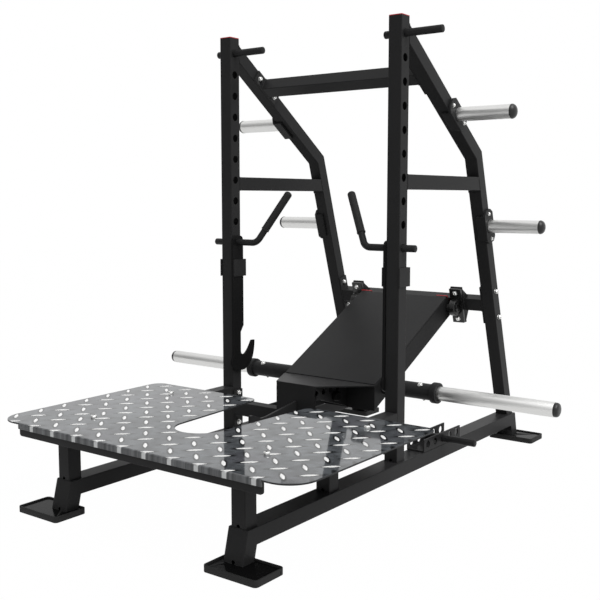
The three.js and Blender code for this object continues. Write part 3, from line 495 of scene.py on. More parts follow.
def filleted(start, corner, end, radius):
    """Two straight lines joined by an arc: centre + cos t * a + sin t * (n x a)."""
    into = unit(corner - start)
    out = unit(end - corner)
    turn = math.acos(float(np.dot(into, out)))
    centre = corner + unit(out - into) * radius / math.cos(turn / 2)
    first = corner - into * radius * math.tan(turn / 2)
    normal = unit(np.cross(into, out))
    spoke = first - centre
    angle = np.linspace(0, turn, BEND_STEPS)[:, None]
    arc = centre + np.cos(angle) * spoke + np.sin(angle) * np.cross(normal, spoke)
    return np.concatenate([[start], arc, [end]]), normal


def rounded_rectangle(half_x, half_y, radius, inset=0.0):
    """Points of a rectangle with round corners, drawn in by an inset.

    Each corner is its centre, moved in by what the inset exceeds the radius, plus the radius left
    over times (cos t, sin t) through a quarter turn.
    """
    quarter = np.linspace(0, math.pi / 2, CORNER_STEPS + 1)
    signs = np.array([[1, 1], [-1, 1], [-1, -1], [1, -1]], float)
    start = np.arange(4) * math.pi / 2
    angle = start[:, None] + quarter[None, :]
    left_over = max(radius - inset, 0.0)
    beyond = max(inset - radius, 0.0)
    centre = signs * np.array([half_x - radius - beyond, half_y - radius - beyond])
    turn = np.stack([np.cos(angle), np.sin(angle)], axis=-1)
    return (centre[:, None, :] + left_over * turn).reshape(-1, 2)


def stacked(half_x, half_y, radius, profile, origin, axes=(X_AXIS, Y_AXIS, Z_AXIS)):
    """Rounded rectangles one above another, one for each (inset, height), closed at both ends.

    The point is origin + a * first axis + b * second axis + height * third axis.
    """
    heights = [profile[0][1], *[height for _, height in profile], profile[-1][1]]
    outlines = [rounded_rectangle(half_x, half_y, radius, inset) for inset, _ in profile]
    middle = np.zeros_like(outlines[0])
    flat = np.stack([middle, *outlines, middle])
    first, second, third = axes
    points = (np.asarray(origin, float)
              + flat[..., 0:1] * first
              + flat[..., 1:2] * second
              + np.array(heights)[:, None, None] * third)
    return rings(points)


def square_tube(low, high, corner):
    """An upright tube: its outer rounded square at both ends, then its inner one back again."""
    centre = (low + high) / 2
    outer = rounded_rectangle(TUBE_HALF, TUBE_HALF, corner)
    bore_half = TUBE_HALF - TUBE_WALL
    inner = rounded_rectangle(bore_half, bore_half, corner / 2)
    rows = [(outer, low[2]), (outer, high[2]), (inner, high[2]), (inner, low[2]), (outer, low[2])]
    layers = [np.column_stack([flat + centre[:2], np.full(len(flat), z)]) for flat, z in rows]
    return rings(np.stack(layers))


def prism(outline, low, high):
    """A plan outline (x, y) carried from one height to another, with one face at each end."""
    return capped([np.column_stack([outline, np.full(len(outline), z)]) for z in (low, high)])


def block(low, high):
    """A plain box between two corners, used as a cutter."""
    outline = [[low[0], low[1]], [high[0], low[1]], [high[0], high[1]], [low[0], high[1]]]
    return prism(np.array(outline, float), low[2], high[2])


def eased(distance, radius, rounding, toward):
    """Rows round the edge of a bar's end: (d, r - c), (d + 0.3 c, r - 0.3 c) and (d + c, r)."""
    return [(distance + toward * rounding * depth, radius - rounding * drop)
            for depth, drop in ((0, 1), (0.3, 0.3), (1, 0))]


def arc_points(centre, radius, start, end, steps=OUTLINE_STEPS):
    """Centre + radius * (cos t, sin t) from one angle, in degrees, to another."""
    angle = np.radians(np.linspace(start, end, steps + 1))
    return np.asarray(centre, float) + radius * np.column_stack([np.cos(angle), np.sin(angle)])


# Meshes and objects


def mesh_of(name, forms):
    """One mesh of several forms, with its doubles merged and its faces turned outwards."""
    offset = 0
    numbers = []
    counts = []
    for points, faces in forms:
        for part in faces:
            numbers.append((part + offset).ravel())
            counts.append(np.full(len(part), part.shape[1]))
        offset += len(points)
    numbers = np.concatenate(numbers)
    counts = np.concatenate(counts)
    starts = np.concatenate([[0], np.cumsum(counts)[:-1]])
    points = np.concatenate([form[0] for form in forms]) * MM
    mesh = bpy.data.meshes.new(name)
    mesh.vertices.add(len(points))
    mesh.vertices.foreach_set("co", points.ravel())
    mesh.loops.add(len(numbers))
    mesh.loops.foreach_set("vertex_index", numbers.astype(np.int32))
    mesh.polygons.add(len(counts))
    mesh.polygons.foreach_set("loop_start", starts.astype(np.int32))
    mesh.update(calc_edges=True)
    mesh.validate()
    work = bmesh.new()
    work.from_mesh(mesh)
    bmesh.ops.remove_doubles(work, verts=work.verts, dist=WELD_DISTANCE * MM)
    bmesh.ops.recalc_face_normals(work, faces=work.faces)
    work.to_mesh(mesh)
    work.free()
    return mesh


def new_object(name, mesh):
    thing = bpy.data.objects.new(name, mesh)
    bpy.context.scene.collection.objects.link(thing)
    return thing


def formed(name, forms):
    """A new object whose mesh is made of forms."""
    return new_object(name, mesh_of(name, forms))


def look_name(name):
    """The name of a finish's material, unlike those that the frame brings along."""
    return f"{name}_look"


def finish_of(name):
    return bpy.data.materials[look_name(name)]


def smooth(mesh, sharp_turn=SHARP_TURN):
    mesh.shade_smooth()
    mesh.set_sharp_from_angle(angle=sharp_turn)


def settle(thing, finish, body, replaced=()):
    """Gives a new piece its finish, its body and the nodes it stands for."""
    if not thing.data.materials:
        thing.data.materials.append(finish_of(finish))
    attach(thing, body)
    if replaced:
        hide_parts(*replaced)
    return thing


def piece(name, forms, finish, body, replaced=(), sharp_turn=SHARP_TURN):
    """A piece made of forms, shaded smooth apart from its sharp edges."""
    thing = formed(name, forms)
    smooth(thing.data, sharp_turn)
    return settle(thing, finish, body, replaced)


def dressed(node, form, finish, body):
    """A piece of one form that stands for a CAD node."""
    return piece(f"{node}_dressed", [form], finish, body, (node,))


def combined(thing, forms, operation="DIFFERENCE"):
    """Cuts forms out of an object's mesh, or keeps only what lies in them."""
    cutter = formed("cutter", forms)
    modifier = thing.modifiers.new("cut", "BOOLEAN")
    modifier.object = cutter
    modifier.solver = "EXACT"
    modifier.operation = operation
    view = bpy.context.evaluated_depsgraph_get()
    result = bpy.data.meshes.new_from_object(thing.evaluated_get(view))
    thing.modifiers.clear()
    spent = (thing.data, cutter.data)
    thing.data = result
    bpy.data.objects.remove(cutter)
    for mesh in spent:
        bpy.data.meshes.remove(mesh)
    result.name = thing.name


def rounded_edges(thing, width, by_weight=False):
    """Rounds the edges that carry a bevel weight, or else those that turn by a wide angle."""
    bevel = thing.modifiers.new("rounded edges", "BEVEL")
    bevel.width = width
    bevel.segments = EDGE_SEGMENTS if by_weight else RIM_SEGMENTS
    bevel.use_clamp_overlap = False
    bevel.limit_method = "WEIGHT" if by_weight else "ANGLE"
    bevel.angle_limit = BEVEL_TURN
    shading = thing.modifiers.new("even shading", "WEIGHTED_NORMAL")
    shading.keep_sharp = True
    shading.weight = EVEN_SHADING_WEIGHT


def flat_faces_merged(mesh, dropped=None):
    """A working copy of a mesh whose faces that lie in one plane are single faces, all smooth.

    The points that dropped marks, such as those of plain bolt heads, are taken off and the holes
    they leave are closed.
    """
    work = bmesh.new()
    work.from_mesh(mesh)
    bmesh.ops.remove_doubles(work, verts=work.verts, dist=WELD_DISTANCE * MM)
    if dropped is not None:
        gone = [point for point in work.verts if dropped(np.array(point.co) / MM)]
        bmesh.ops.delete(work, geom=gone, context="VERTS")
        bmesh.ops.holes_fill(work, edges=[edge for edge in work.edges if edge.is_boundary])
    bmesh.ops.dissolve_limit(work, angle_limit=FLAT_TURN, verts=work.verts, edges=work.edges)
    for face in work.faces:
        face.smooth = True
    return work


def edge_radius(edge, widest):
    """The rounding of an edge: a share of the narrower face beside it, up to the widest.

    Only edges that stick out and turn by more than EDGE_TURN are rounded.
    """
    if len(edge.link_faces) != 2 or edge.calc_length() < WELD_DISTANCE * MM:
        return 0
    if edge.calc_face_angle_signed(0) < EDGE_TURN:
        return 0
    width = min(face.calc_area() for face in edge.link_faces) / edge.calc_length()
    return min(widest, width * EDGE_SHARE)


def softened(node, widest, finish="powder_coat", body="frame", dropped=None):
    """A copy of a CAD node's mesh with its flat faces merged and its edges rounded."""
    work = flat_faces_merged(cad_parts[node].data, dropped)
    weight = work.edges.layers.float.new("bevel_weight_edge")
    for edge in work.edges:
        radius = edge_radius(edge, widest)
        edge[weight] = radius / widest
        turns = len(edge.link_faces) == 2 and abs(edge.calc_face_angle(0)) > EDGE_TURN
        edge.smooth = radius > 0 or not turns
    mesh = bpy.data.meshes.new(f"{node}_dressed")
    work.to_mesh(mesh)
    work.free()
    thing = new_object(mesh.name, mesh)
    rounded_edges(thing, widest, by_weight=True)
    return settle(thing, finish, body, (node,))


# Shader maths: a socket that can stand in Python's arithmetic


class Value:
    """A socket of a recipe; each operator adds one Math node."""

    def __init__(self, recipe, socket):
        self.recipe = recipe
        self.socket = socket

    def math(self, operation, first, second=0.0):
        return self.recipe.node("ShaderNodeMath", {"operation": operation}, {0: first, 1: second})

    def __add__(self, other):
        return self.math("ADD", self, other)

    def __radd__(self, other):
        return self.math("ADD", other, self)

    def __sub__(self, other):
        return self.math("SUBTRACT", self, other)

    def __rsub__(self, other):
        return self.math("SUBTRACT", other, self)

    def __mul__(self, other):
        return self.math("MULTIPLY", self, other)

    def __rmul__(self, other):
        return self.math("MULTIPLY", other, self)

    def __truediv__(self, other):
        return self.math("DIVIDE", self, other)

    def from_nearest(self):
        """The distance to the nearest whole number, with its sign."""
        return self - self.math("ROUND", self)

    def ramped(self, start, end):
        """From 0 at start to 1 at end, smooth at both."""
        return self.recipe.node(
            "ShaderNodeMapRange", {"interpolation_type": "SMOOTHSTEP"},
            {"Value": self, "From Min": start, "From Max": end})


class Recipe:
    """A node tree that is written node by node."""

    def __init__(self, tree):
        self.tree = tree
        tree.nodes.clear()

    def node(self, kind, settings=None, sockets=None, output=0):
        """Adds a node: its settings first, then the value or the link of each socket."""
        added = self.tree.nodes.new(kind)
        for key, value in (settings or {}).items():
            setattr(added, key, value)
        for key, value in (sockets or {}).items():
            if isinstance(value, Value):
                self.tree.links.new(value.socket, added.inputs[key])
            else:
                added.inputs[key].default_value = value
        if not added.outputs:
            return None
        return Value(self, added.outputs[output])

    def place(self):
        return self.node("ShaderNodeTexCoord", output="Object")

    def stretched(self, place, scale):
        return self.node("ShaderNodeMapping", None, {"Vector": place, "Scale": scale})

    def parts(self, vector):
        """The three numbers of a vector."""
        split = self.node("ShaderNodeSeparateXYZ", None, {0: vector}).socket.node
        return [Value(self, part) for part in split.outputs]

    def noise(self, place, scale, detail=2.0):
        return self.node("ShaderNodeTexNoise", None, {"Vector": place, "Scale": scale, "Detail": detail})

    def mixed(self, share, first, second):
        """The first colour where the share is 0 and the second where it is 1.

        A colour mix has its factor at socket 0, its colours at 6 and 7, and its result at output 2.
        """
        return self.node(
            "ShaderNodeMix", {"data_type": "RGBA"}, {0: share, 6: first, 7: second}, output=2)

    def bump(self, height, strength, distance):
        return self.node(
            "ShaderNodeBump", None, {"Height": height, "Strength": strength, "Distance": distance})

    def ray(self, kind):
        """1 for rays of one kind, such as the camera's, and 0 for all others."""
        return self.node("ShaderNodeLightPath", output=f"Is {kind} Ray")

    def surface(self, shader, kind="ShaderNodeOutputMaterial"):
        self.node(kind, None, {"Surface": shader})

    def principled(self, sockets):
        self.surface(self.node("ShaderNodeBsdfPrincipled", None, sockets))


def material_recipe(name):
    material = bpy.data.materials.new(look_name(name))
    material.use_nodes = True
    return Recipe(material.node_tree)


def shade(colour, share):
    """A colour made lighter or darker by a share."""
    return (*[min(part * share, 1.0) for part in colour[:3]], 1.0)


def tones(colour, shares):
    """The darker and the lighter tone of a colour."""
    return [shade(colour, share) for share in shares]


def coated(name, colour, gloss, roughness, grain=900, bump=0.12):
    """A sprayed coat: a fine orange peel, and a slow drift in its colour and its gloss."""
    recipe = material_recipe(name)
    place = recipe.place()
    drift = recipe.noise(place, scale=7, detail=3)
    peel = recipe.noise(place, grain, detail=1)
    tone = recipe.mixed(drift, *tones(colour, COAT_TONES))
    recipe.principled({
        "Base Color": tone,
        "Roughness": roughness + 0.06 * (drift - 0.5) + 0.08 * (peel - 0.5),
        "Specular IOR Level": gloss,
        "Normal": recipe.bump(peel, bump, PEEL_DEPTH),
    })


def plated(name, colour, roughness):
    """Plated steel: bright, with faint lines along the bar from its polishing."""
    recipe = material_recipe(name)
    place = recipe.place()
    lines = recipe.noise(recipe.stretched(place, POLISH_STRETCH), scale=1)
    cloud = recipe.noise(place, scale=18)
    tone = recipe.mixed(cloud, *tones(colour, PLATED_TONES))
    recipe.principled({
        "Base Color": tone,
        "Metallic": 1.0,
        "Roughness": roughness + 0.06 * (lines - 0.5),
    })


def lug_shade_ring(across_x, across_y, origin, lean):
    """How near a point is to the nearest lug of a row, for the painted shade round it: 0 on the lug, and
    1 away from it.

    The point's distance from the nearest lattice place is turned by the lug's lean and divided by
    the lug's half length and half width; the sum of squares is ramped.
    """
    local_x = ((across_x - origin[0] * MM) / (LUG_PITCH_X * MM)).from_nearest() * LUG_PITCH_X
    local_y = ((across_y - origin[1] * MM) / (LUG_PITCH_Y * MM)).from_nearest() * LUG_PITCH_Y
    cosine = math.cos(lean)
    sine = math.sin(lean)
    along = (local_x * cosine + local_y * sine) / (LUG_LENGTH / 2)
    beside = (local_y * cosine - local_x * sine) / (LUG_WIDTH / 2)
    return (along * along + beside * beside).ramped(*LUG_SHADE_RING)


def tread_sheet(finishes):
    """The mirror flat sheet: slate grey, mottled, and with painted shade, darker in a soft ring round
    each lug.
    """
    recipe = material_recipe("tread_sheet")
    place = recipe.place()
    x, y, _ = recipe.parts(place)
    mottle = 0.5 * recipe.noise(place, scale=9, detail=4) + 0.5 * recipe.noise(place, scale=34, detail=6)
    warm = recipe.noise(place, scale=5)
    colour = finishes.tread_colour
    cool_tone = recipe.mixed(mottle.ramped(*MOTTLE_SPAN), *tones(colour, TREAD_TONES))
    tone = recipe.mixed(warm.ramped(*WARM_SPAN) * WARM_SHARE, cool_tone, TREAD_WARM)
    unshaded_sheet = lug_shade_ring(x, y, LUG_ORIGIN, LUG_LEAN)
    unshaded_sheet = unshaded_sheet * lug_shade_ring(x, y, LUG_ORIGIN + LUG_SHIFT, SOFT_LUG_LEAN)
    # Painted shade: the sheet darkens in a soft ring round each lug
    base = recipe.mixed(unshaded_sheet, shade(colour, TREAD_EDGE_AND_SHADE_SHARE), tone)
    recipe.principled({
        "Base Color": base,
        "Roughness": 0.03 + 0.03 * mottle,
        "Specular IOR Level": 0.37,
        "Specular Tint": TREAD_TINT,
    })


def tread_lip():
    """The turned down lip: painted highlight in light bars where lugs run over it, and bands that change
    along X.
    """
    recipe = material_recipe("tread_lip")
    x, _, _ = recipe.parts(recipe.place())
    offset = ((x - LUG_ORIGIN[0] * MM - LUG_SHIFT[0] * MM) / (LUG_PITCH_X * MM)).from_nearest()
    distance = offset.math("ABSOLUTE", offset) * LUG_PITCH_X
    streaks = recipe.noise(recipe.stretched(recipe.place(), LIP_STRETCH), scale=1, detail=3)
    bands = recipe.mixed(streaks.ramped(*MOTTLE_SPAN), *LIP_BANDS)
    # Painted highlight: light bars where the lugs run over the bend
    base = recipe.mixed(distance.ramped(*LIP_LUG_HIGHLIGHT_EDGE), LIP_LUG_HIGHLIGHT, bands)
    recipe.principled({
        "Base Color": base,
        "Roughness": 0.3 + 0.1 * streaks,
        "Specular IOR Level": 0.3,
    })


# Stage


def world_light(ambient, dim_side):
    """White to the camera and in reflections, and dimmer as light on the object.

    For all but the camera the surroundings fade to grey in a wide cone round one direction, as a
    room does behind the photographer, so that bars and flat faces show a soft band.
    """
    world = bpy.data.worlds.new("studio")
    world.use_nodes = True
    bpy.context.scene.world = world
    recipe = Recipe(world.node_tree)
    camera = recipe.ray("Camera")
    seen = (camera + recipe.ray("Glossy") + recipe.ray("Transmission")).ramped(0, 1)
    toward = recipe.node("ShaderNodeTexCoord", output="Generated")
    facing = recipe.node(
        "ShaderNodeVectorMath", {"operation": "DOT_PRODUCT"},
        {0: toward, 1: tuple(unit(DIM_DIRECTION))}, output="Value")
    dimness = facing.ramped(*DIM_CONE) * dim_side * (1 - camera)
    tone = recipe.mixed(dimness, WHITE, BLACK)
    soft = recipe.node("ShaderNodeBackground", None, {"Color": tone, "Strength": ambient})
    white = recipe.node("ShaderNodeBackground", None, {"Color": tone, "Strength": 1.0})
    recipe.surface(
        recipe.node("ShaderNodeMixShader", None, {0: seen, 1: soft, 2: white}), "ShaderNodeOutputWorld")


def pale_floor(size):
    """A white floor that keeps a faint shadow, and is plain white in reflections.

    It scatters little light back, so that the machine's undersides stay dark.
    """
    recipe = material_recipe("pale_floor")
    grain = recipe.noise(recipe.place(), scale=3)
    camera = recipe.ray("Camera")
    glow = camera * FLOOR_GLOW + recipe.ray("Glossy") + recipe.ray("Transmission")
    pale = recipe.mixed(grain, *FLOOR_COLOURS)
    colour = recipe.mixed(camera, FLOOR_SCATTER, pale)
    matt = recipe.node("ShaderNodeBsdfDiffuse", None, {"Color": colour})
    white = recipe.node("ShaderNodeEmission", None, {"Color": WHITE, "Strength": 1.0})
    recipe.surface(recipe.node("ShaderNodeMixShader", None, {0: glow.ramped(0, 1), 1: matt, 2: white}))
    corners_xy = np.array([[-1, -1], [1, -1], [1, 1], [-1, 1]]) * size / MM / 2
    points = np.column_stack([corners_xy, np.zeros(4)])
    floor = formed("floor", [(points, [np.array([[0, 1, 2, 3]])])])
    floor.data.materials.append(finish_of("pale_floor"))


def sun(name, strength, direction, spread):
    """A wide soft light that shines from a direction."""
    light = bpy.data.lights.new(name, "SUN")
    light.energy = strength
    light.angle = spread
    x, y, z = unit(direction)
    new_object(name, light).rotation_euler = (math.acos(z), 0, math.atan2(x, -y))


class SQUAT_OT_stage(Operator):
    """Floor, white surroundings, soft lights and the camera"""
    bl_idname = "squat.stage"
    bl_label = "Stage"

    def execute(self, context):
        settings = context.scene.squat_stage
        context.scene.view_settings.view_transform = "Standard"
        world_light(settings.ambient, settings.dim_side)
        pale_floor(settings.floor_size)
        sun("key_light", settings.key_strength, KEY_DIRECTION, KEY_SPREAD)
        sun("fill_light", settings.fill_strength, FILL_DIRECTION, FILL_SPREAD)
        lens = bpy.data.cameras.new("camera")
        lens.lens = LENS
        lens.sensor_width = SENSOR_WIDTH
        camera = new_object("camera", lens)
        camera.location = CAMERA_PLACE
        camera.rotation_euler = (CAMERA_TILT, 0, CAMERA_TURN)
        context.scene.camera = camera
        return {"FINISHED"}


class SQUAT_OT_finishes(Operator):
    """The powder coat, chrome, tread steel, rubber and plastics"""
    bl_idname = "squat.finishes"
    bl_label = "Finishes"

    def execute(self, context):
        look = context.scene.squat_finishes
        coat, gloss, roughness = look.coat_colour, look.coat_gloss, look.coat_roughness
        plastic = look.plastic_colour
        coated("powder_coat", coat, gloss, roughness)
        coated("cover_coat", coat, gloss * 1.2, roughness)
        # Painted shade: the lever's frame gets the coat darkened, as its sides lie in shade
        coated("lever_coat_painted_shade", shade(coat, 0.88), gloss * 0.8, roughness)
        # Painted shade: the foot plates' tops get the coat at a fifth of its colour
        coated("plate_coat_painted_shade", shade(coat, 0.2), gloss / 2, roughness=0.16)
        # Painted shade: the catch hook bars get the coat darkened to under half its colour
        coated("hook_coat_painted_shade", shade(coat, 0.45), gloss / 2, roughness)
        coated("weld_bead", coat, gloss, roughness, grain=500, bump=0.2)
        coated("rubber", look.rubber_colour, gloss=0.25, roughness=0.68, grain=420, bump=0.3)
        coated("black_plastic", plastic, gloss=0.4, roughness=0.32, grain=300, bump=0.06)
        # Painted shade: the pin's head is the black plastic darkened further, as it sits in the shade
        # inside the nose
        coated("pin_knob_painted_shade", shade(plastic, 0.4), gloss=0.05, roughness=0.5, grain=300, bump=0.06)
        coated("bearing_enamel", shade(plastic, 1.2), gloss=0.45, roughness=0.3, grain=160, bump=0.25)
        coated("red_plastic", look.red_colour, gloss=0.35, roughness=0.38, grain=300, bump=0.06)
        plated("chrome", look.chrome_colour, look.chrome_roughness)
        plated("fastener", shade(look.chrome_colour, 1.05), roughness=0.14)
        tread_sheet(look)
        tread_lip()
        edge = shade(look.tread_colour, TREAD_EDGE_AND_SHADE_SHARE)
        coated("tread_edge", edge, gloss=0.3, roughness=0.5, grain=500, bump=0.1)
        # Painted highlight: the lugs are near white, and the second row, which catches less light, at
        # three quarters of it
        coated("lug_painted_highlight", look.lug_highlight_colour, gloss=0.5, roughness=0.22, grain=240, bump=0.05)
        soft = shade(look.lug_highlight_colour, 0.75)
        coated("lug_dim_painted_highlight", soft, gloss=0.5, roughness=0.25, grain=240, bump=0.05)
        return {"FINISHED"}


# Side frames


def dressed_upright(side, sign, sizes):
    """A round cornered tube with its row of holes and its vent cut through."""
    node = f"upright_{side}"
    low, high = corners(node)
    tube = formed(f"{node}_dressed", [square_tube(low, high, sizes.tube_corner / MM)])
    drill = [(-TUBE, HOLE_RADIUS), (TUBE, HOLE_RADIUS)]
    holes = [turned(drill, (sign * FRAME_X, HOLE_Y, TOP_HOLE_Z - i * HOLE_PITCH), X_AXIS)
             for i in range(HOLE_COUNT)]
    vent_start = (sign * FRAME_X, UPRIGHT_FRONT_Y - OVERRUN, low[2] + VENT_RISE)
    holes.append(turned([(0, VENT_RADIUS), (TUBE_HALF, VENT_RADIUS)], vent_start, Y_AXIS))
    combined(tube, holes)
    smooth(tube.data)
    rounded_edges(tube, sizes.rim_edge)
    settle(tube, "powder_coat", "frame", (node,))


def upright_cap(side):
    """A thin square cap with a plug below it and a slight crown."""
    node = f"upright_cap_{side}"
    low, high = corners(node)
    plug = TUBE_WALL + CLEARANCE
    seat = high[2] - UPRIGHT_CAP_SEAT
    profile = [
        (plug, low[2]), (plug, seat), (0, seat), (0, high[2] - 1),
        (0.4, high[2] - 0.4), (1.4, high[2] - 0.1), (6, high[2]),
    ]
    origin = (low + high) / 2 * (X_AXIS + Y_AXIS)
    form = stacked(TUBE_HALF, TUBE_HALF, UPRIGHT_CAP_CORNER, profile, origin)
    dressed(node, form, "red_plastic", "frame")


def glossy_foot_plates_painted_shade(rail):
    """Gives the level faces low on a rail, its foot plates' tops, a smoother coat whose much darker
    colour is painted shade.
    """
    mesh = rail.data
    mesh.materials.append(finish_of("plate_coat_painted_shade"))
    normals = np.empty(len(mesh.polygons) * 3)
    centres = np.empty_like(normals)
    mesh.polygons.foreach_get("normal", normals)
    mesh.polygons.foreach_get("center", centres)
    level = (normals[2::3] > LEVEL_FACE) & (centres[2::3] < PAD_HEIGHT * 2 * MM)
    mesh.polygons.foreach_set("material_index", level.astype(np.int32))


class SQUAT_OT_side_frames(Operator):
    """Uprights with their holes and red caps, rear frames, side bars and base rails"""
    bl_idname = "squat.side_frames"
    bl_label = "Side frames"

    def execute(self, context):
        sizes = context.scene.squat_sizes
        for side, sign in SIDES:
            dressed_upright(side, sign, sizes)
            upright_cap(side)
            for part in ("rear_frame", "side_bar", "peg_bracket"):
                softened(f"{part}_{side}", sizes.tube_corner)
            glossy_foot_plates_painted_shade(softened(f"base_rail_{side}", sizes.tube_corner))
        return {"FINISHED"}


# Cross beams


def beam_axes():
    """In the side view, the rear frame's directions: its slope, its leg, and across the leg."""
    slope = unit(REAR_BEND - REAR_START)
    leg = unit(REAR_BEND - REAR_FOOT)
    return slope, leg, np.array([leg[1], -leg[0]])


def beam_centres():
    """The centres of the upper, the pivot and the low beam in the side view."""
    upper = point_at(REAR_START, REAR_BEND, y=UPPER_BEAM_Y)
    pivot = point_at(REAR_FOOT, REAR_BEND, z=PIVOT_BEAM_Z)
    return upper, pivot, np.array([HOLE_Y, LOW_BEAM_Z])


def is_flange_head(point):
    """Whether a point belongs to a plain bolt head on a flange's inner face."""
    return FLANGE_INNER_X - HEAD_BAND < abs(point[0]) < FLANGE_INNER_X - HEAD_CLEAR


class SQUAT_OT_cross_beams(Operator):
    """The upper, the pivot and the low cross beam with their flanges"""
    bl_idname = "squat.cross_beams"
    bl_label = "Cross beams"

    def execute(self, context):
        corner = context.scene.squat_sizes.tube_corner
        for node in ("upper_cross_beam", "pivot_cross_beam", "low_cross_beam"):
            softened(node, corner, dropped=is_flange_head)
        return {"FINISHED"}


# Bearings


def is_bearing_head(point):
    """Whether a point stands out from the bearing's foot, beside the barrel."""
    _, leg, leg_across = beam_axes()
    offset = point[1:] - beam_centres()[1]
    return offset @ leg_across < BEARING_FACE_Y - HEAD_CLEAR and abs(offset @ leg) > LEVER_DEPTH_HALF


def bearing_rings(sign):
    """The seal and the inner race that show at both faces of a bearing's barrel."""
    seal = [(-0.8, 16), (-0.8, 26), (0.2, 27), (0.9, 27), (1.2, 25.5), (0.6, 24), (0.6, 18.5),
            (3.5, 18.3), (4.2, 17.6), (4.2, 14.6), (-0.8, 14.6), (-0.8, 16)]
    starts = [side_view(PIVOT_CENTRE, sign * BEARING_X + face * BEARING_BARREL_HALF) for face in (-1, 1)]
    return [turned(seal, start, X_AXIS * face, poles=False) for start, face in zip(starts, (-1, 1))]


class SQUAT_OT_bearings(Operator):
    """The two pillow block bearings with their seals"""
    bl_idname = "squat.bearings"
    bl_label = "Bearings"

    def execute(self, context):
        for side, sign in SIDES:
            softened(f"pivot_bearing_{side}", BEARING_EDGE, "bearing_enamel", dropped=is_bearing_head)
            piece(f"bearing_seal_{side}", bearing_rings(sign), "black_plastic", "frame")
        return {"FINISHED"}


# Feet


def foot_pad(node):
    """A rubber tray: rounded rectangles from its underside up, over the rim and down to its floor."""
    low, high = corners(node)
    half = (high - low) / 2
    rise = PAD_ROUNDING
    profile = [
        (rise, 0), (0.3, 0.4), (0, rise), (0, PAD_HEIGHT - rise), (0.4, PAD_HEIGHT - 0.3),
        (rise, PAD_HEIGHT), (PAD_RIM - rise, PAD_HEIGHT), (PAD_RIM - 0.4, PAD_HEIGHT - 0.3),
        (PAD_RIM, PAD_HEIGHT - rise), (PAD_RIM, PAD_FLOOR_Z),
    ]
    origin = (low + high) / 2 * (X_AXIS + Y_AXIS)
    pad = formed(f"{node}_dressed", [stacked(half[0], half[1], PAD_CORNER, profile, origin)])
    slot_y = high[1] - PAD_SLOT_SETBACK
    slots = [block((edge - rise, slot_y - PAD_SLOT_WIDTH, rise * 2),
                   (edge + rise, slot_y, rise * 2 + PAD_SLOT_HEIGHT)) for edge in (low[0], high[0])]
    combined(pad, slots)
    smooth(pad.data)
    settle(pad, "rubber", "frame", (node,))


class SQUAT_OT_feet(Operator):
    """The four rubber foot pads"""
    bl_idname = "squat.feet"
    bl_label = "Feet"

    def execute(self, context):
        for side, _ in SIDES:
            for end in ("front", "rear"):
                foot_pad(f"foot_pad_{end}_{side}")
        return {"FINISHED"}


# Platform


def tread_outline():
    """The plan of the tread plate: four round corners, and the notch with its two round lips."""
    half = TREAD_HALF_WIDTH
    front = TREAD_FRONT_RADIUS
    rear = TREAD_REAR_RADIUS
    corner = NOTCH_CORNER_RADIUS
    corner_x = NOTCH_MOUTH_HALF_WIDTH + corner
    corner_y = TREAD_REAR_Y - corner
    return np.concatenate([
        arc_points((half - front, TREAD_FRONT_Y + front), front, -90, 0),
        arc_points((half - rear, TREAD_REAR_Y - rear), rear, 0, 90),
        arc_points((corner_x, corner_y), corner, 90, 180),
        arc_points((0, NOTCH_CENTRE_Y), NOTCH_RADIUS, 0, -180, 2 * OUTLINE_STEPS),
        arc_points((-corner_x, corner_y), corner, 0, 90),
        arc_points((rear - half, TREAD_REAR_Y - rear), rear, 90, 180),
        arc_points((front - half, TREAD_FRONT_Y + front), front, 180, 270),
    ])


def tread_sheet_piece():
    """The flat sheet, stepped back along the front edge to where the lip's bend starts."""
    bottom = TREAD_TOP_Z - TREAD_THICKNESS
    sheet = formed("tread_plate_dressed", [prism(tread_outline(), bottom, TREAD_TOP_Z)])
    combined(sheet, [block((-LIP_HALF_WIDTH, TREAD_FRONT_Y - OVERRUN, bottom - OVERRUN),
                           (LIP_HALF_WIDTH, TREAD_FRONT_Y + LIP_BEND, TREAD_TOP_Z + OVERRUN))])
    for finish in ("tread_sheet", "tread_edge"):
        sheet.data.materials.append(finish_of(finish))
    work = flat_faces_merged(sheet.data)
    for face in work.faces:
        face.material_index = 0 if abs(face.normal.z) > LEVEL_FACE else 1
    work.to_mesh(sheet.data)
    work.free()
    rounded_edges(sheet, SHEET_EDGE * MM)
    settle(sheet, "tread_sheet", "frame", ("tread_plate",))


def tread_lip_piece():
    """The lip: an L shaped section with a round bend, carried along X.

    The bend's outer points are centre + bend * (-cos t, sin t), from the front face to the top.
    """
    front = TREAD_FRONT_Y
    back = front + TREAD_THICKNESS
    under = TREAD_TOP_Z - TREAD_THICKNESS
    centre = np.array([front + LIP_BEND, TREAD_TOP_Z - LIP_BEND])
    turn = np.linspace(0, math.pi / 2, BEND_STEPS)
    outer = centre + LIP_BEND * np.column_stack([-np.cos(turn), np.sin(turn)])
    edge = [[back, LIP_BOTTOM_Z], [front + SHEET_EDGE, LIP_BOTTOM_Z], [front, LIP_BOTTOM_Z + SHEET_EDGE]]
    section = np.concatenate([edge, outer, [[front + LIP_BEND, under], [back, under]]])
    ends = [np.column_stack([np.full(len(section), x), section])
            for x in (-LIP_HALF_WIDTH, LIP_HALF_WIDTH)]
    piece("tread_lip", [capped(ends)], "tread_lip", "frame")


def inside(outline, x, y):
    """Which points lie inside an outline: those with an odd count of its edges to their right."""
    start_x, start_y = outline.T
    end_x, end_y = np.roll(outline, -1, axis=0).T
    x = x[:, None]
    y = y[:, None]
    spans = (start_y > y) != (end_y > y)
    rise = np.where(spans, end_y - start_y, 1.0)
    meets = start_x + (y - start_y) * (end_x - start_x) / rise
    return (spans & (meets > x)).sum(axis=1) % 2 == 1


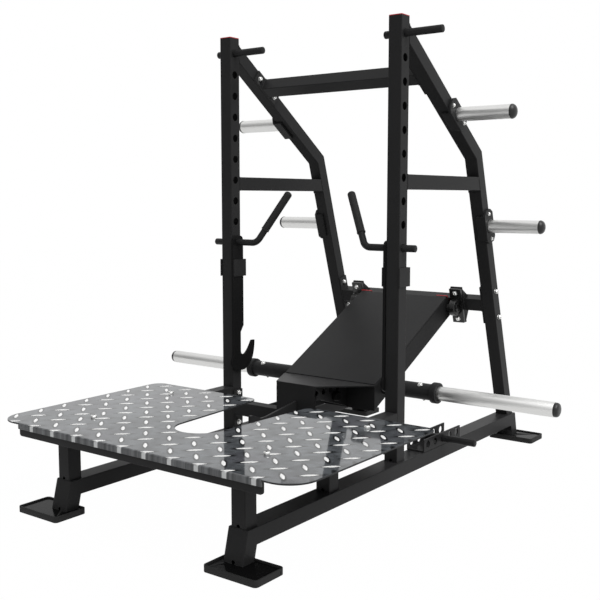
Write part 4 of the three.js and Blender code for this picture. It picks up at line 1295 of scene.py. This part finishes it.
def lug_template(lean, height):
    """One lug: rings of a pointed oval, (a cos t, b sin t |sin t| ** 0.5), from below the sheet up.

    Each ring is the oval times a share, at a height, turned by the lean.
    """
    rows = [(0, -LUG_SINK), (1, -LUG_SINK), (1, 0.15 * height), (0.74, 0.75 * height),
            (0.4, height), (0, height)]
    share, rise = np.array(rows, float).T
    angle = turn_steps(LUG_RING_SIDES)
    along = LUG_LENGTH / 2 * np.cos(angle)
    beside = LUG_WIDTH / 2 * np.sin(angle) * np.sqrt(np.abs(np.sin(angle)))
    x = share[:, None] * (along * math.cos(lean) - beside * math.sin(lean))
    y = share[:, None] * (along * math.sin(lean) + beside * math.cos(lean))
    z = np.repeat(rise[:, None], LUG_RING_SIDES, axis=1)
    return rings(np.stack([x, y, z], axis=-1))


def lug_lattice(origin, lean, height):
    """The template at each place origin + (i * pitch x, j * pitch y), all in one form."""
    points, (quads,) = lug_template(lean, height)
    steps = np.arange(-LUG_REACH, LUG_REACH + 1)
    columns, rows = np.meshgrid(steps, np.arange(-1, LUG_REACH + 1))
    x = origin[0] + columns.ravel() * LUG_PITCH_X
    y = origin[1] + rows.ravel() * LUG_PITCH_Y
    kept = inside(tread_outline(), x, y)
    places = np.column_stack([x[kept], y[kept], np.full(kept.sum(), TREAD_TOP_Z)])
    every = (places[:, None, :] + points).reshape(-1, 3)
    offsets = np.arange(len(places))[:, None, None] * len(points)
    return every, [(quads + offsets).reshape(-1, 4)]


def tread_lugs(name, origin, lean, finish, height):
    """A row pattern of lugs, trimmed to the plate's outline."""
    lugs = formed(name, [lug_lattice(origin, lean, height)])
    trim = prism(tread_outline(), TREAD_TOP_Z - LUG_TRIM_DEPTH, TREAD_TOP_Z + OVERRUN)
    combined(lugs, [trim], "INTERSECT")
    smooth(lugs.data, LUG_SHARP_TURN)
    settle(lugs, finish, "frame")


class SQUAT_OT_platform(Operator):
    """Tread plate with its lugs, the beams and posts under it and the front member"""
    bl_idname = "squat.platform"
    bl_label = "Platform"

    def execute(self, context):
        sizes = context.scene.squat_sizes
        height = sizes.lug_height / MM
        tread_sheet_piece()
        tread_lip_piece()
        tread_lugs("lugs_painted_highlight", LUG_ORIGIN, LUG_LEAN, "lug_painted_highlight", height)
        tread_lugs("lugs_dim_painted_highlight", LUG_ORIGIN + LUG_SHIFT, SOFT_LUG_LEAN, "lug_dim_painted_highlight", height)
        softened("platform_front_member", sizes.tube_corner)
        for side, _ in SIDES:
            for part in ("platform_beam", "front_post", "middle_post"):
                softened(f"{part}_{side}", sizes.tube_corner)
        return {"FINISHED"}


# Storage horns


def is_bracket_head(point):
    """Whether a point stands out from a storage bracket's face."""
    return abs(point[0]) > BRACKET_FACE_X + HEAD_CLEAR


def horn(node, sign):
    """A plated bar with a black cap on its end: a ring, and a dome that runs a quarter circle.

    The dome's point at the turn t is (ring end + length * sin t, rim * cos t).
    """
    *ends, radius, origin = bar_of(node)
    near, far = near_and_far(*ends)
    cap_start = far - HORN_CAP_LENGTH
    rim = radius + HORN_CAP_STEP
    bar = [(near, radius), (cap_start + END_ROUNDING, radius)]
    ring_end = cap_start + HORN_CAP_RING
    dome = far - ring_end
    cap = [
        (cap_start, radius - 1), (cap_start, rim - 0.5), (cap_start + 0.6, rim), (ring_end, rim),
        *[(ring_end + dome * math.sin(turn), (rim - 0.8) * math.cos(turn)) for turn in HORN_CAP_TURNS],
    ]
    axis = X_AXIS * sign
    dressed(node, turned(bar, origin, axis), "chrome", "frame")
    piece(f"{node}_cap", [turned(cap, origin, axis)], "black_plastic", "frame")


class SQUAT_OT_storage_horns(Operator):
    """The four plate storage horns on their brackets"""
    bl_idname = "squat.storage_horns"
    bl_label = "Storage horns"

    def execute(self, context):
        for side, sign in SIDES:
            for level in ("upper", "lower"):
                softened(f"storage_bracket_{level}_{side}", BRACKET_EDGE, dropped=is_bracket_head)
                horn(f"storage_horn_{level}_{side}", sign)
        return {"FINISHED"}


# Round bars along X


def round_bar(node, finish, body, rounding=END_ROUNDING):
    """A bar along X as thick and long as its node, with rounded ends."""
    start, end, radius, origin = bar_of(node)
    profile = [*eased(start, radius, rounding, 1), *reversed(eased(end, radius, rounding, -1))]
    dressed(node, turned(profile, origin, X_AXIS), finish, body)


class SQUAT_OT_band_pegs(Operator):
    """The loose band pegs in the uprights and in the low brackets"""
    bl_idname = "squat.band_pegs"
    bl_label = "Band pegs"

    def execute(self, context):
        for side, _ in SIDES:
            for level in ("upper", "lower"):
                round_bar(f"band_peg_{level}_{side}", "powder_coat", f"peg_{level}_{side}")
        return {"FINISHED"}


# Lever


def arm_axes():
    """In the side view, the directions along the lever's arm and up across it."""
    along = unit(WEIGHT_CENTRE - PIVOT_CENTRE)
    return along, np.array([along[1], -along[0]])


def lever_plug(sign):
    """A red cap over a lever tube's upper end and the edge of the cover on it."""
    along, upward = arm_axes()
    end = PIVOT_CENTRE - along * LEVER_END_REACH + upward * COVER_RISE / 2
    axes = (X_AXIS, side_view(-upward), side_view(-along))
    profile = [
        (TUBE_WALL, -PLUG_WRAP), (0, -PLUG_WRAP), (0, PLUG_END / 2), (0.5, PLUG_END), (6, PLUG_END),
        (8, PLUG_END - 1.5),
    ]
    half_depth = LEVER_DEPTH_HALF + COVER_RISE / 2 + PLUG_PROUD
    origin = side_view(end, sign * LEVER_TUBE_X)
    return stacked(LEVER_END_HALF - PLUG_PROUD, half_depth, PLUG_CORNER, profile, origin, axes)


class SQUAT_OT_lever(Operator):
    """The lever's frame, cover, pivot shaft and red plugs"""
    bl_idname = "squat.lever"
    bl_label = "Lever"

    def execute(self, context):
        corner = context.scene.squat_sizes.tube_corner
        softened("lever_frame", corner, "lever_coat_painted_shade", "lever")
        softened("lever_cover", corner, "cover_coat", "lever")
        round_bar("pivot_shaft", "black_plastic", "lever", SHAFT_END_ROUNDING)
        piece("lever_plugs", [lever_plug(sign) for _, sign in SIDES], "red_plastic", "lever")
        return {"FINISHED"}


# Weight shaft


def shaft_form():
    """A hollow tube whose ends step out to the collars, with each step rounded."""
    seat = SLEEVE_RADIUS + CLEARANCE
    half = [
        (SHAFT_BOLT_X - OVERRUN, SHAFT_RADIUS),
        (COLLAR_START_X - 0.2, SHAFT_RADIUS),
        (COLLAR_START_X, SHAFT_RADIUS + 0.3),
        *eased(COLLAR_START_X, COLLAR_RADIUS, COLLAR_ROUNDING, 1),
        *reversed(eased(COLLAR_END_X, COLLAR_RADIUS, COLLAR_ROUNDING, -1)),
        (COLLAR_END_X, seat + COLLAR_ROUNDING),
        (COLLAR_END_X - COLLAR_ROUNDING, seat),
    ]
    other = [(-distance, radius) for distance, radius in reversed(half)]
    return turned([*half, *other, half[0]], side_view(WEIGHT_CENTRE), X_AXIS, poles=False)


def sleeve_end_cap(node, sign):
    """A black dome a little smaller than the sleeve, on a short plug."""
    *ends, _, _ = bar_of(node)
    near, far = near_and_far(*ends)
    seat = far - (far - near) * SLEEVE_CAP_SHARE
    rim = SLEEVE_RADIUS - SLEEVE_CAP_INSET
    length = far - seat
    dome = [(seat + length * share, rim * reach) for share, reach in
            ((0, 1), (0.3, 1), (0.55, 0.97), (0.76, 0.88), (0.91, 0.7), (0.98, 0.4))]
    profile = [(near, rim * 0.8), (seat - 1, rim * 0.8), *dome, (far, rim * 0.15)]
    form = turned(profile, side_view(WEIGHT_CENTRE), X_AXIS * sign)
    dressed(node, form, "black_plastic", "lever")


class SQUAT_OT_weight_shaft(Operator):
    """The weight shaft with its collars, and the two plated sleeves"""
    bl_idname = "squat.weight_shaft"
    bl_label = "Weight shaft"

    def execute(self, context):
        dressed("weight_shaft", shaft_form(), "powder_coat", "lever")
        for side, sign in SIDES:
            round_bar(f"weight_sleeve_{side}", "chrome", "lever", SLEEVE_END_ROUNDING)
            sleeve_end_cap(f"sleeve_cap_{side}", sign)
        return {"FINISHED"}


# Belt hook


def hook_pin():
    """A pull pin: a thin shank through the cheeks, and a round head with a groove."""
    start, end, radius, origin = bar_of("hook_pin")
    head = end - PIN_HEAD_LENGTH
    profile = [
        (start, PIN_RADIUS - 3), (start + 2.5, PIN_RADIUS), (head, PIN_RADIUS), (head, radius - 1.5),
        (head + 1.5, radius), (head + 5, radius), (head + 6, radius - 1), (head + 7, radius),
        (end - 4, radius), (end - 1.2, radius - 1.2), (end, radius - 4), (end - 1.5, radius - 7),
    ]
    dressed("hook_pin", turned(profile, origin, X_AXIS), "pin_knob_painted_shade", "belt_hook_pin")


class SQUAT_OT_belt_hook(Operator):
    """The belt hook, its pull pin and the rubber stop under it"""
    bl_idname = "squat.belt_hook"
    bl_label = "Belt hook"

    def execute(self, context):
        softened("belt_hook", BELT_HOOK_EDGE, body="lever")
        hook_pin()
        softened("lever_stop", STOP_EDGE, "rubber")
        return {"FINISHED"}


# Catch hooks


def handle_path():
    """The right handle's centre line: out through the upright, a smooth elbow, and up to the tip."""
    outer = np.array([HANDLE_OUTER_X, HOLE_Y, HANDLE_Z])
    elbow = np.array([HANDLE_ELBOW_X, HOLE_Y, HANDLE_Z])
    return filleted(outer, elbow, HANDLE_TIP, HANDLE_BEND)


def handle_forms():
    """The right handle's rod, and its grip with a rounded tip and a ring at its lower end."""
    path, normal = handle_path()
    lengths = path_lengths(path)
    total = lengths[-1]
    rod_end = total - ROD_END_DEPTH
    bend = lengths[(lengths > 1) & (lengths < rod_end)]
    rod = [(0, HANDLE_RADIUS - 2), (0.6, HANDLE_RADIUS - 0.7), (2, HANDLE_RADIUS),
           *[(distance, HANDLE_RADIUS) for distance in bend], (rod_end, HANDLE_RADIUS)]
    start = total - GRIP_LENGTH
    ring_end = start + GRIP_RING_LENGTH
    ring = GRIP_RADIUS + GRIP_RING
    tip = GRIP_RADIUS * GRIP_TIP_SHARE
    grip = [
        (start, HANDLE_RADIUS), (start, ring - 0.4), (start + 0.5, ring),
        (ring_end - 0.5, ring), (ring_end, GRIP_RADIUS), (total - tip, GRIP_RADIUS),
        *[(total - tip * (1 - math.sin(turn)), GRIP_RADIUS * math.cos(turn))
          for turn in GRIP_TIP_TURNS],
    ]
    return bent_rod(path, rod, normal), bent_rod(path, grip, normal)


class SQUAT_OT_catch_hooks(Operator):
    """The swinging catch hooks with their saddles, handles and grips"""
    bl_idname = "squat.catch_hooks"
    bl_label = "Catch hooks"

    def execute(self, context):
        rod, grip = handle_forms()
        for side, sign in SIDES:
            body = f"hook_{side}"
            mirror = np.array([sign, 1, 1])
            softened(f"hook_bar_{side}", HOOK_BAR_EDGE, "hook_coat_painted_shade", body)
            softened(f"hook_guide_{side}", HOOK_GUIDE_EDGE, body=body)
            dressed(f"hook_handle_{side}", (rod[0] * mirror, rod[1]), "powder_coat", body)
            dressed(f"hook_grip_{side}", (grip[0] * mirror, grip[1]), "rubber", body)
        return {"FINISHED"}


# Fasteners


def fastener(origin, axis, *profiles):
    """One turned form for each (profile, how many of its last rows are hexagons)."""
    return [turned(rows, origin, axis, FASTENER_SIDES, hexagons=hexagons)
            for rows, hexagons in profiles]


def bolt(origin, axis, radius=BOLT_RADIUS, height=BOLT_HEIGHT):
    """A washer and a button head with a hexagon socket, seated at a point."""
    brim = radius * WASHER_SHARE
    washer = [(0, brim), (WASHER_THICKNESS - 0.3, brim), (WASHER_THICKNESS, brim - 0.4)]
    seat = WASHER_THICKNESS - SEAT_OVERLAP
    socket = radius * SOCKET_SHARE
    top = seat + height
    head = [(seat, radius), (seat + height * 0.45, radius), (seat + height * 0.75, radius * 0.93),
            (seat + height * 0.93, radius * 0.78), (top, radius * 0.62), (top, socket),
            (top - height * 0.5, socket)]
    return fastener(origin, axis, (washer, 0), (head, 2))


def nut(origin, axis, radius=NUT_RADIUS):
    """A washer, a hexagon nut with broken corners, and the end of the bolt in it."""
    brim = radius * WASHER_SHARE
    washer = [(0, brim), (WASHER_THICKNESS, brim)]
    seat = WASHER_THICKNESS - SEAT_OVERLAP
    top = seat + NUT_HEIGHT
    hexagon = [(seat, radius * 0.93), (seat + 0.8, radius), (top - 1, radius), (top, radius * 0.9)]
    thread = [(seat, THREAD_RADIUS), (top + THREAD_LENGTH - 1, THREAD_RADIUS),
              (top + THREAD_LENGTH, THREAD_RADIUS - 1)]
    return fastener(origin, axis, (washer, 0), (hexagon, 4), (thread, 0))


def frame_fasteners():
    """Heads on the beam flanges, the brackets and the bearings, and nuts outside the legs."""
    slope, leg, leg_across = beam_axes()
    upper, pivot, low = beam_centres()
    rows = [(upper, slope, UPPER_BOLT_OFFSET), (pivot, leg, PIVOT_BOLT_OFFSET),
            (low, Z_AXIS[1:], LOW_BOLT_OFFSET)]
    forms = []
    for _, sign in SIDES:
        for end in (-1, 1):
            for centre, along, offset in rows:
                place = side_view(centre + along * offset * end, sign * FLANGE_INNER_X)
                forms += bolt(place, -X_AXIS * sign)
            outside = side_view(pivot + leg * PIVOT_BOLT_OFFSET * end, sign * OUTER_X)
            forms += nut(outside, X_AXIS * sign)
            seat = pivot + leg_across * BEARING_FACE_Y + leg * BEARING_BOLT_OFFSET * end
            forms += bolt(side_view(seat, sign * BEARING_X), side_view(-leg_across))
            for level, along in (("upper", slope), ("lower", leg)):
                *_, axis_point = bar_of(f"storage_horn_{level}_right")
                place = axis_point[1:] + along * BRACKET_BOLT_OFFSET * end
                forms += bolt(side_view(place, sign * BRACKET_FACE_X), X_AXIS * sign,
                              BRACKET_HEAD_RADIUS, BRACKET_HEAD_HEIGHT)
    return forms


def plate_screws():
    """Flat heads with a hexagon socket on the tread plate."""
    head = [(0, SCREW_RADIUS), (SCREW_HEIGHT * 0.6, SCREW_RADIUS),
            (SCREW_HEIGHT * 0.85, SCREW_RADIUS * 0.93), (SCREW_HEIGHT, SCREW_RADIUS * 0.75),
            (SCREW_HEIGHT, SCREW_SOCKET_RADIUS), (SCREW_HEIGHT * 0.4, SCREW_SOCKET_RADIUS)]
    places = [(sign * x, y, TREAD_TOP_Z - SCREW_SINK) for _, sign in SIDES for x, y in PLATE_SCREWS]
    return [form for place in places for form in fastener(place, Z_AXIS, (head, 2))]


def shaft_bolts():
    """A bolt and its nut across the weight shaft on each side."""
    _, upward = arm_axes()
    upward = side_view(upward)
    reach = upward * (SHAFT_RADIUS - 1)
    forms = []
    for _, sign in SIDES:
        centre = side_view(WEIGHT_CENTRE, sign * SHAFT_BOLT_X)
        forms += bolt(centre + reach, upward, SHAFT_HEAD_RADIUS, SHAFT_HEAD_HEIGHT)
        forms += nut(centre - reach, -upward, SHAFT_NUT_RADIUS)
    return forms


class SQUAT_OT_fasteners(Operator):
    """The plated bolts, nuts and screws"""
    bl_idname = "squat.fasteners"
    bl_label = "Fasteners"

    def execute(self, context):
        piece("frame_bolts", frame_fasteners(), "fastener", "frame")
        piece("plate_screws", plate_screws(), "fastener", "frame")
        piece("shaft_bolts", shaft_bolts(), "fastener", "lever")
        return {"FINISHED"}


# Welds


def bead(start, end, radius):
    """A rippled bead along a line: its radius is r * (1 + share * cos(turn * s / pitch))."""
    length = np.linalg.norm(end - start)
    count = max(int(length / WELD_PITCH), 1) * RIPPLE_STEPS
    distance = np.linspace(0, length, count + 1)
    ripple = radius * (1 + WELD_RIPPLE_SHARE * np.cos(FULL_TURN * distance / WELD_PITCH))
    return turned(list(zip(distance, ripple)), start, end - start, BEAD_SIDES)


def bead_loop(points, radius):
    """Beads from each point of a loop to the next."""
    return [bead(points[i - 1], points[i], radius) for i in range(len(points))]


def strip_loop(x_span, first, second, radius):
    """Beads round a rectangle that spans X, between two points (y, z) of the side view."""
    left, right = x_span
    loop = [side_view(first, left), side_view(first, right), side_view(second, right),
            side_view(second, left)]
    return bead_loop(loop, radius)


def frame_welds(radius):
    """Beads round the feet and heads of the posts, and where the side tubes meet the uprights."""
    slope, leg, leg_across = beam_axes()
    foot_half = TUBE_HALF / leg[1]
    rise = TUBE_HALF / slope[0]
    bar_edges = (SIDE_BAR_Z - TUBE_HALF, SIDE_BAR_Z + TUBE_HALF)
    on_rail = (REAR_FOOT[0] - foot_half, REAR_FOOT[0] + foot_half, RAIL_TOP_Z)
    forms = []
    for side, sign in SIDES:
        flat = []
        for node in ("upright", "front_post", "middle_post"):
            low, high = corners(f"{node}_{side}")
            flat.append((low[1], high[1], RAIL_TOP_Z))
            if node != "upright":
                flat.append((low[1], high[1], high[2]))
        pairs = [((low_y, z), (high_y, z)) for low_y, high_y, z in (*flat, on_rail)]
        for low_z, high_z in ((REAR_START[1] - rise, REAR_START[1] + rise), bar_edges):
            pairs.append(((UPRIGHT_REAR_Y, low_z), (UPRIGHT_REAR_Y, high_z)))
        pairs.append([point_at(REAR_FOOT, REAR_BEND, z=z) - leg_across * TUBE_HALF for z in bar_edges])
        for first, second in pairs:
            forms += strip_loop(sorted([sign * INNER_X, sign * OUTER_X]), first, second, radius)
    return forms


def beam_welds(radius):
    """Beads round each cross beam where it meets its flanges."""
    slope, leg, leg_across = beam_axes()
    slope_across = np.array([-slope[1], slope[0]])
    upper, pivot, low = beam_centres()
    beams = [(upper, slope, slope_across), (pivot, leg, leg_across), (low, Y_AXIS[1:], Z_AXIS[1:])]
    forms = []
    for _, sign in SIDES:
        for centre, first, second in beams:
            loop = [centre + TUBE_HALF * (a * first + b * second)
                    for a, b in ((-1, -1), (1, -1), (1, 1), (-1, 1))]
            forms += bead_loop([side_view(point, sign * FLANGE_INNER_X) for point in loop], radius)
    return forms


def horn_weld(node, x, radius):
    """A rippled ring round a horn.

    The point at the turn t round the horn and s round the bead is ((R + r cos s) cos t,
    (R + r cos s) sin t) in the side view, and r sin s along X, with the bead's radius r rippling.
    """
    *_, reach, origin = bar_of(node)
    turn = np.linspace(0, FULL_TURN, RIPPLE_STEPS * HORN_WELD_RIPPLES + 1)
    around = turn_steps(BEAD_SIDES)
    ripple = radius * (1 + WELD_RIPPLE_SHARE * np.cos(turn * HORN_WELD_RIPPLES))
    out = reach + ripple[:, None] * np.cos(around)
    points = np.stack([
        x + ripple[:, None] * np.sin(around),
        origin[1] + out * np.cos(turn)[:, None],
        origin[2] + out * np.sin(turn)[:, None],
    ], axis=-1)
    return rings(points)


def horn_welds(radius):
    """A rippled ring where each horn leaves its bracket."""
    return [horn_weld(f"storage_horn_{level}_{side}", sign * BRACKET_FACE_X, radius)
            for side, sign in SIDES for level in ("upper", "lower")]


class SQUAT_OT_welds(Operator):
    """The weld beads of the frame"""
    bl_idname = "squat.welds"
    bl_label = "Welds"

    def execute(self, context):
        radius = context.scene.squat_sizes.weld_radius / MM
        for part, welds in (("frame", frame_welds), ("beam", beam_welds), ("horn", horn_welds)):
            piece(f"{part}_weld_beads", welds(radius), "weld_bead", "frame",
                  sharp_turn=WELD_SHARP_TURN)
        return {"FINISHED"}


# Panel and registration


PIECE_OPERATORS = (
    SQUAT_OT_stage,
    SQUAT_OT_finishes,
    SQUAT_OT_side_frames,
    SQUAT_OT_cross_beams,
    SQUAT_OT_bearings,
    SQUAT_OT_feet,
    SQUAT_OT_platform,
    SQUAT_OT_storage_horns,
    SQUAT_OT_band_pegs,
    SQUAT_OT_lever,
    SQUAT_OT_weight_shaft,
    SQUAT_OT_belt_hook,
    SQUAT_OT_catch_hooks,
    SQUAT_OT_fasteners,
    SQUAT_OT_welds,
)


class SQUAT_PT_panel(Panel):
    """The machine's sizes, finishes and pieces"""
    bl_idname = "SQUAT_PT_panel"
    bl_label = "Belt squat machine"
    bl_space_type = "VIEW_3D"
    bl_region_type = "UI"
    bl_category = "Squat"

    def draw(self, context):
        for group_name in SETTINGS:
            group = getattr(context.scene, group_name)
            box = self.layout.box()
            for name in group.bl_rna.properties.keys():
                if name not in ("rna_type", "name"):
                    box.prop(group, name)
        for operator in PIECE_OPERATORS:
            self.layout.operator(operator.bl_idname)


SETTINGS = {
    "squat_sizes": MachineSizes,
    "squat_finishes": MachineFinishes,
    "squat_stage": MachineStage,
}
CLASSES = (*SETTINGS.values(), *PIECE_OPERATORS, SQUAT_PT_panel)


def register():
    for item in CLASSES:
        bpy.utils.register_class(item)
    for name, group in SETTINGS.items():
        setattr(bpy.types.Scene, name, PointerProperty(type=group))


def unregister():
    for name in SETTINGS:
        delattr(bpy.types.Scene, name)
    for item in reversed(CLASSES):
        bpy.utils.unregister_class(item)


def main():
    register()
    for operator in PIECE_OPERATORS:
        _, name = operator.bl_idname.split(".")
        getattr(bpy.ops.squat, name)()


if __name__ == "__main__":
    main()
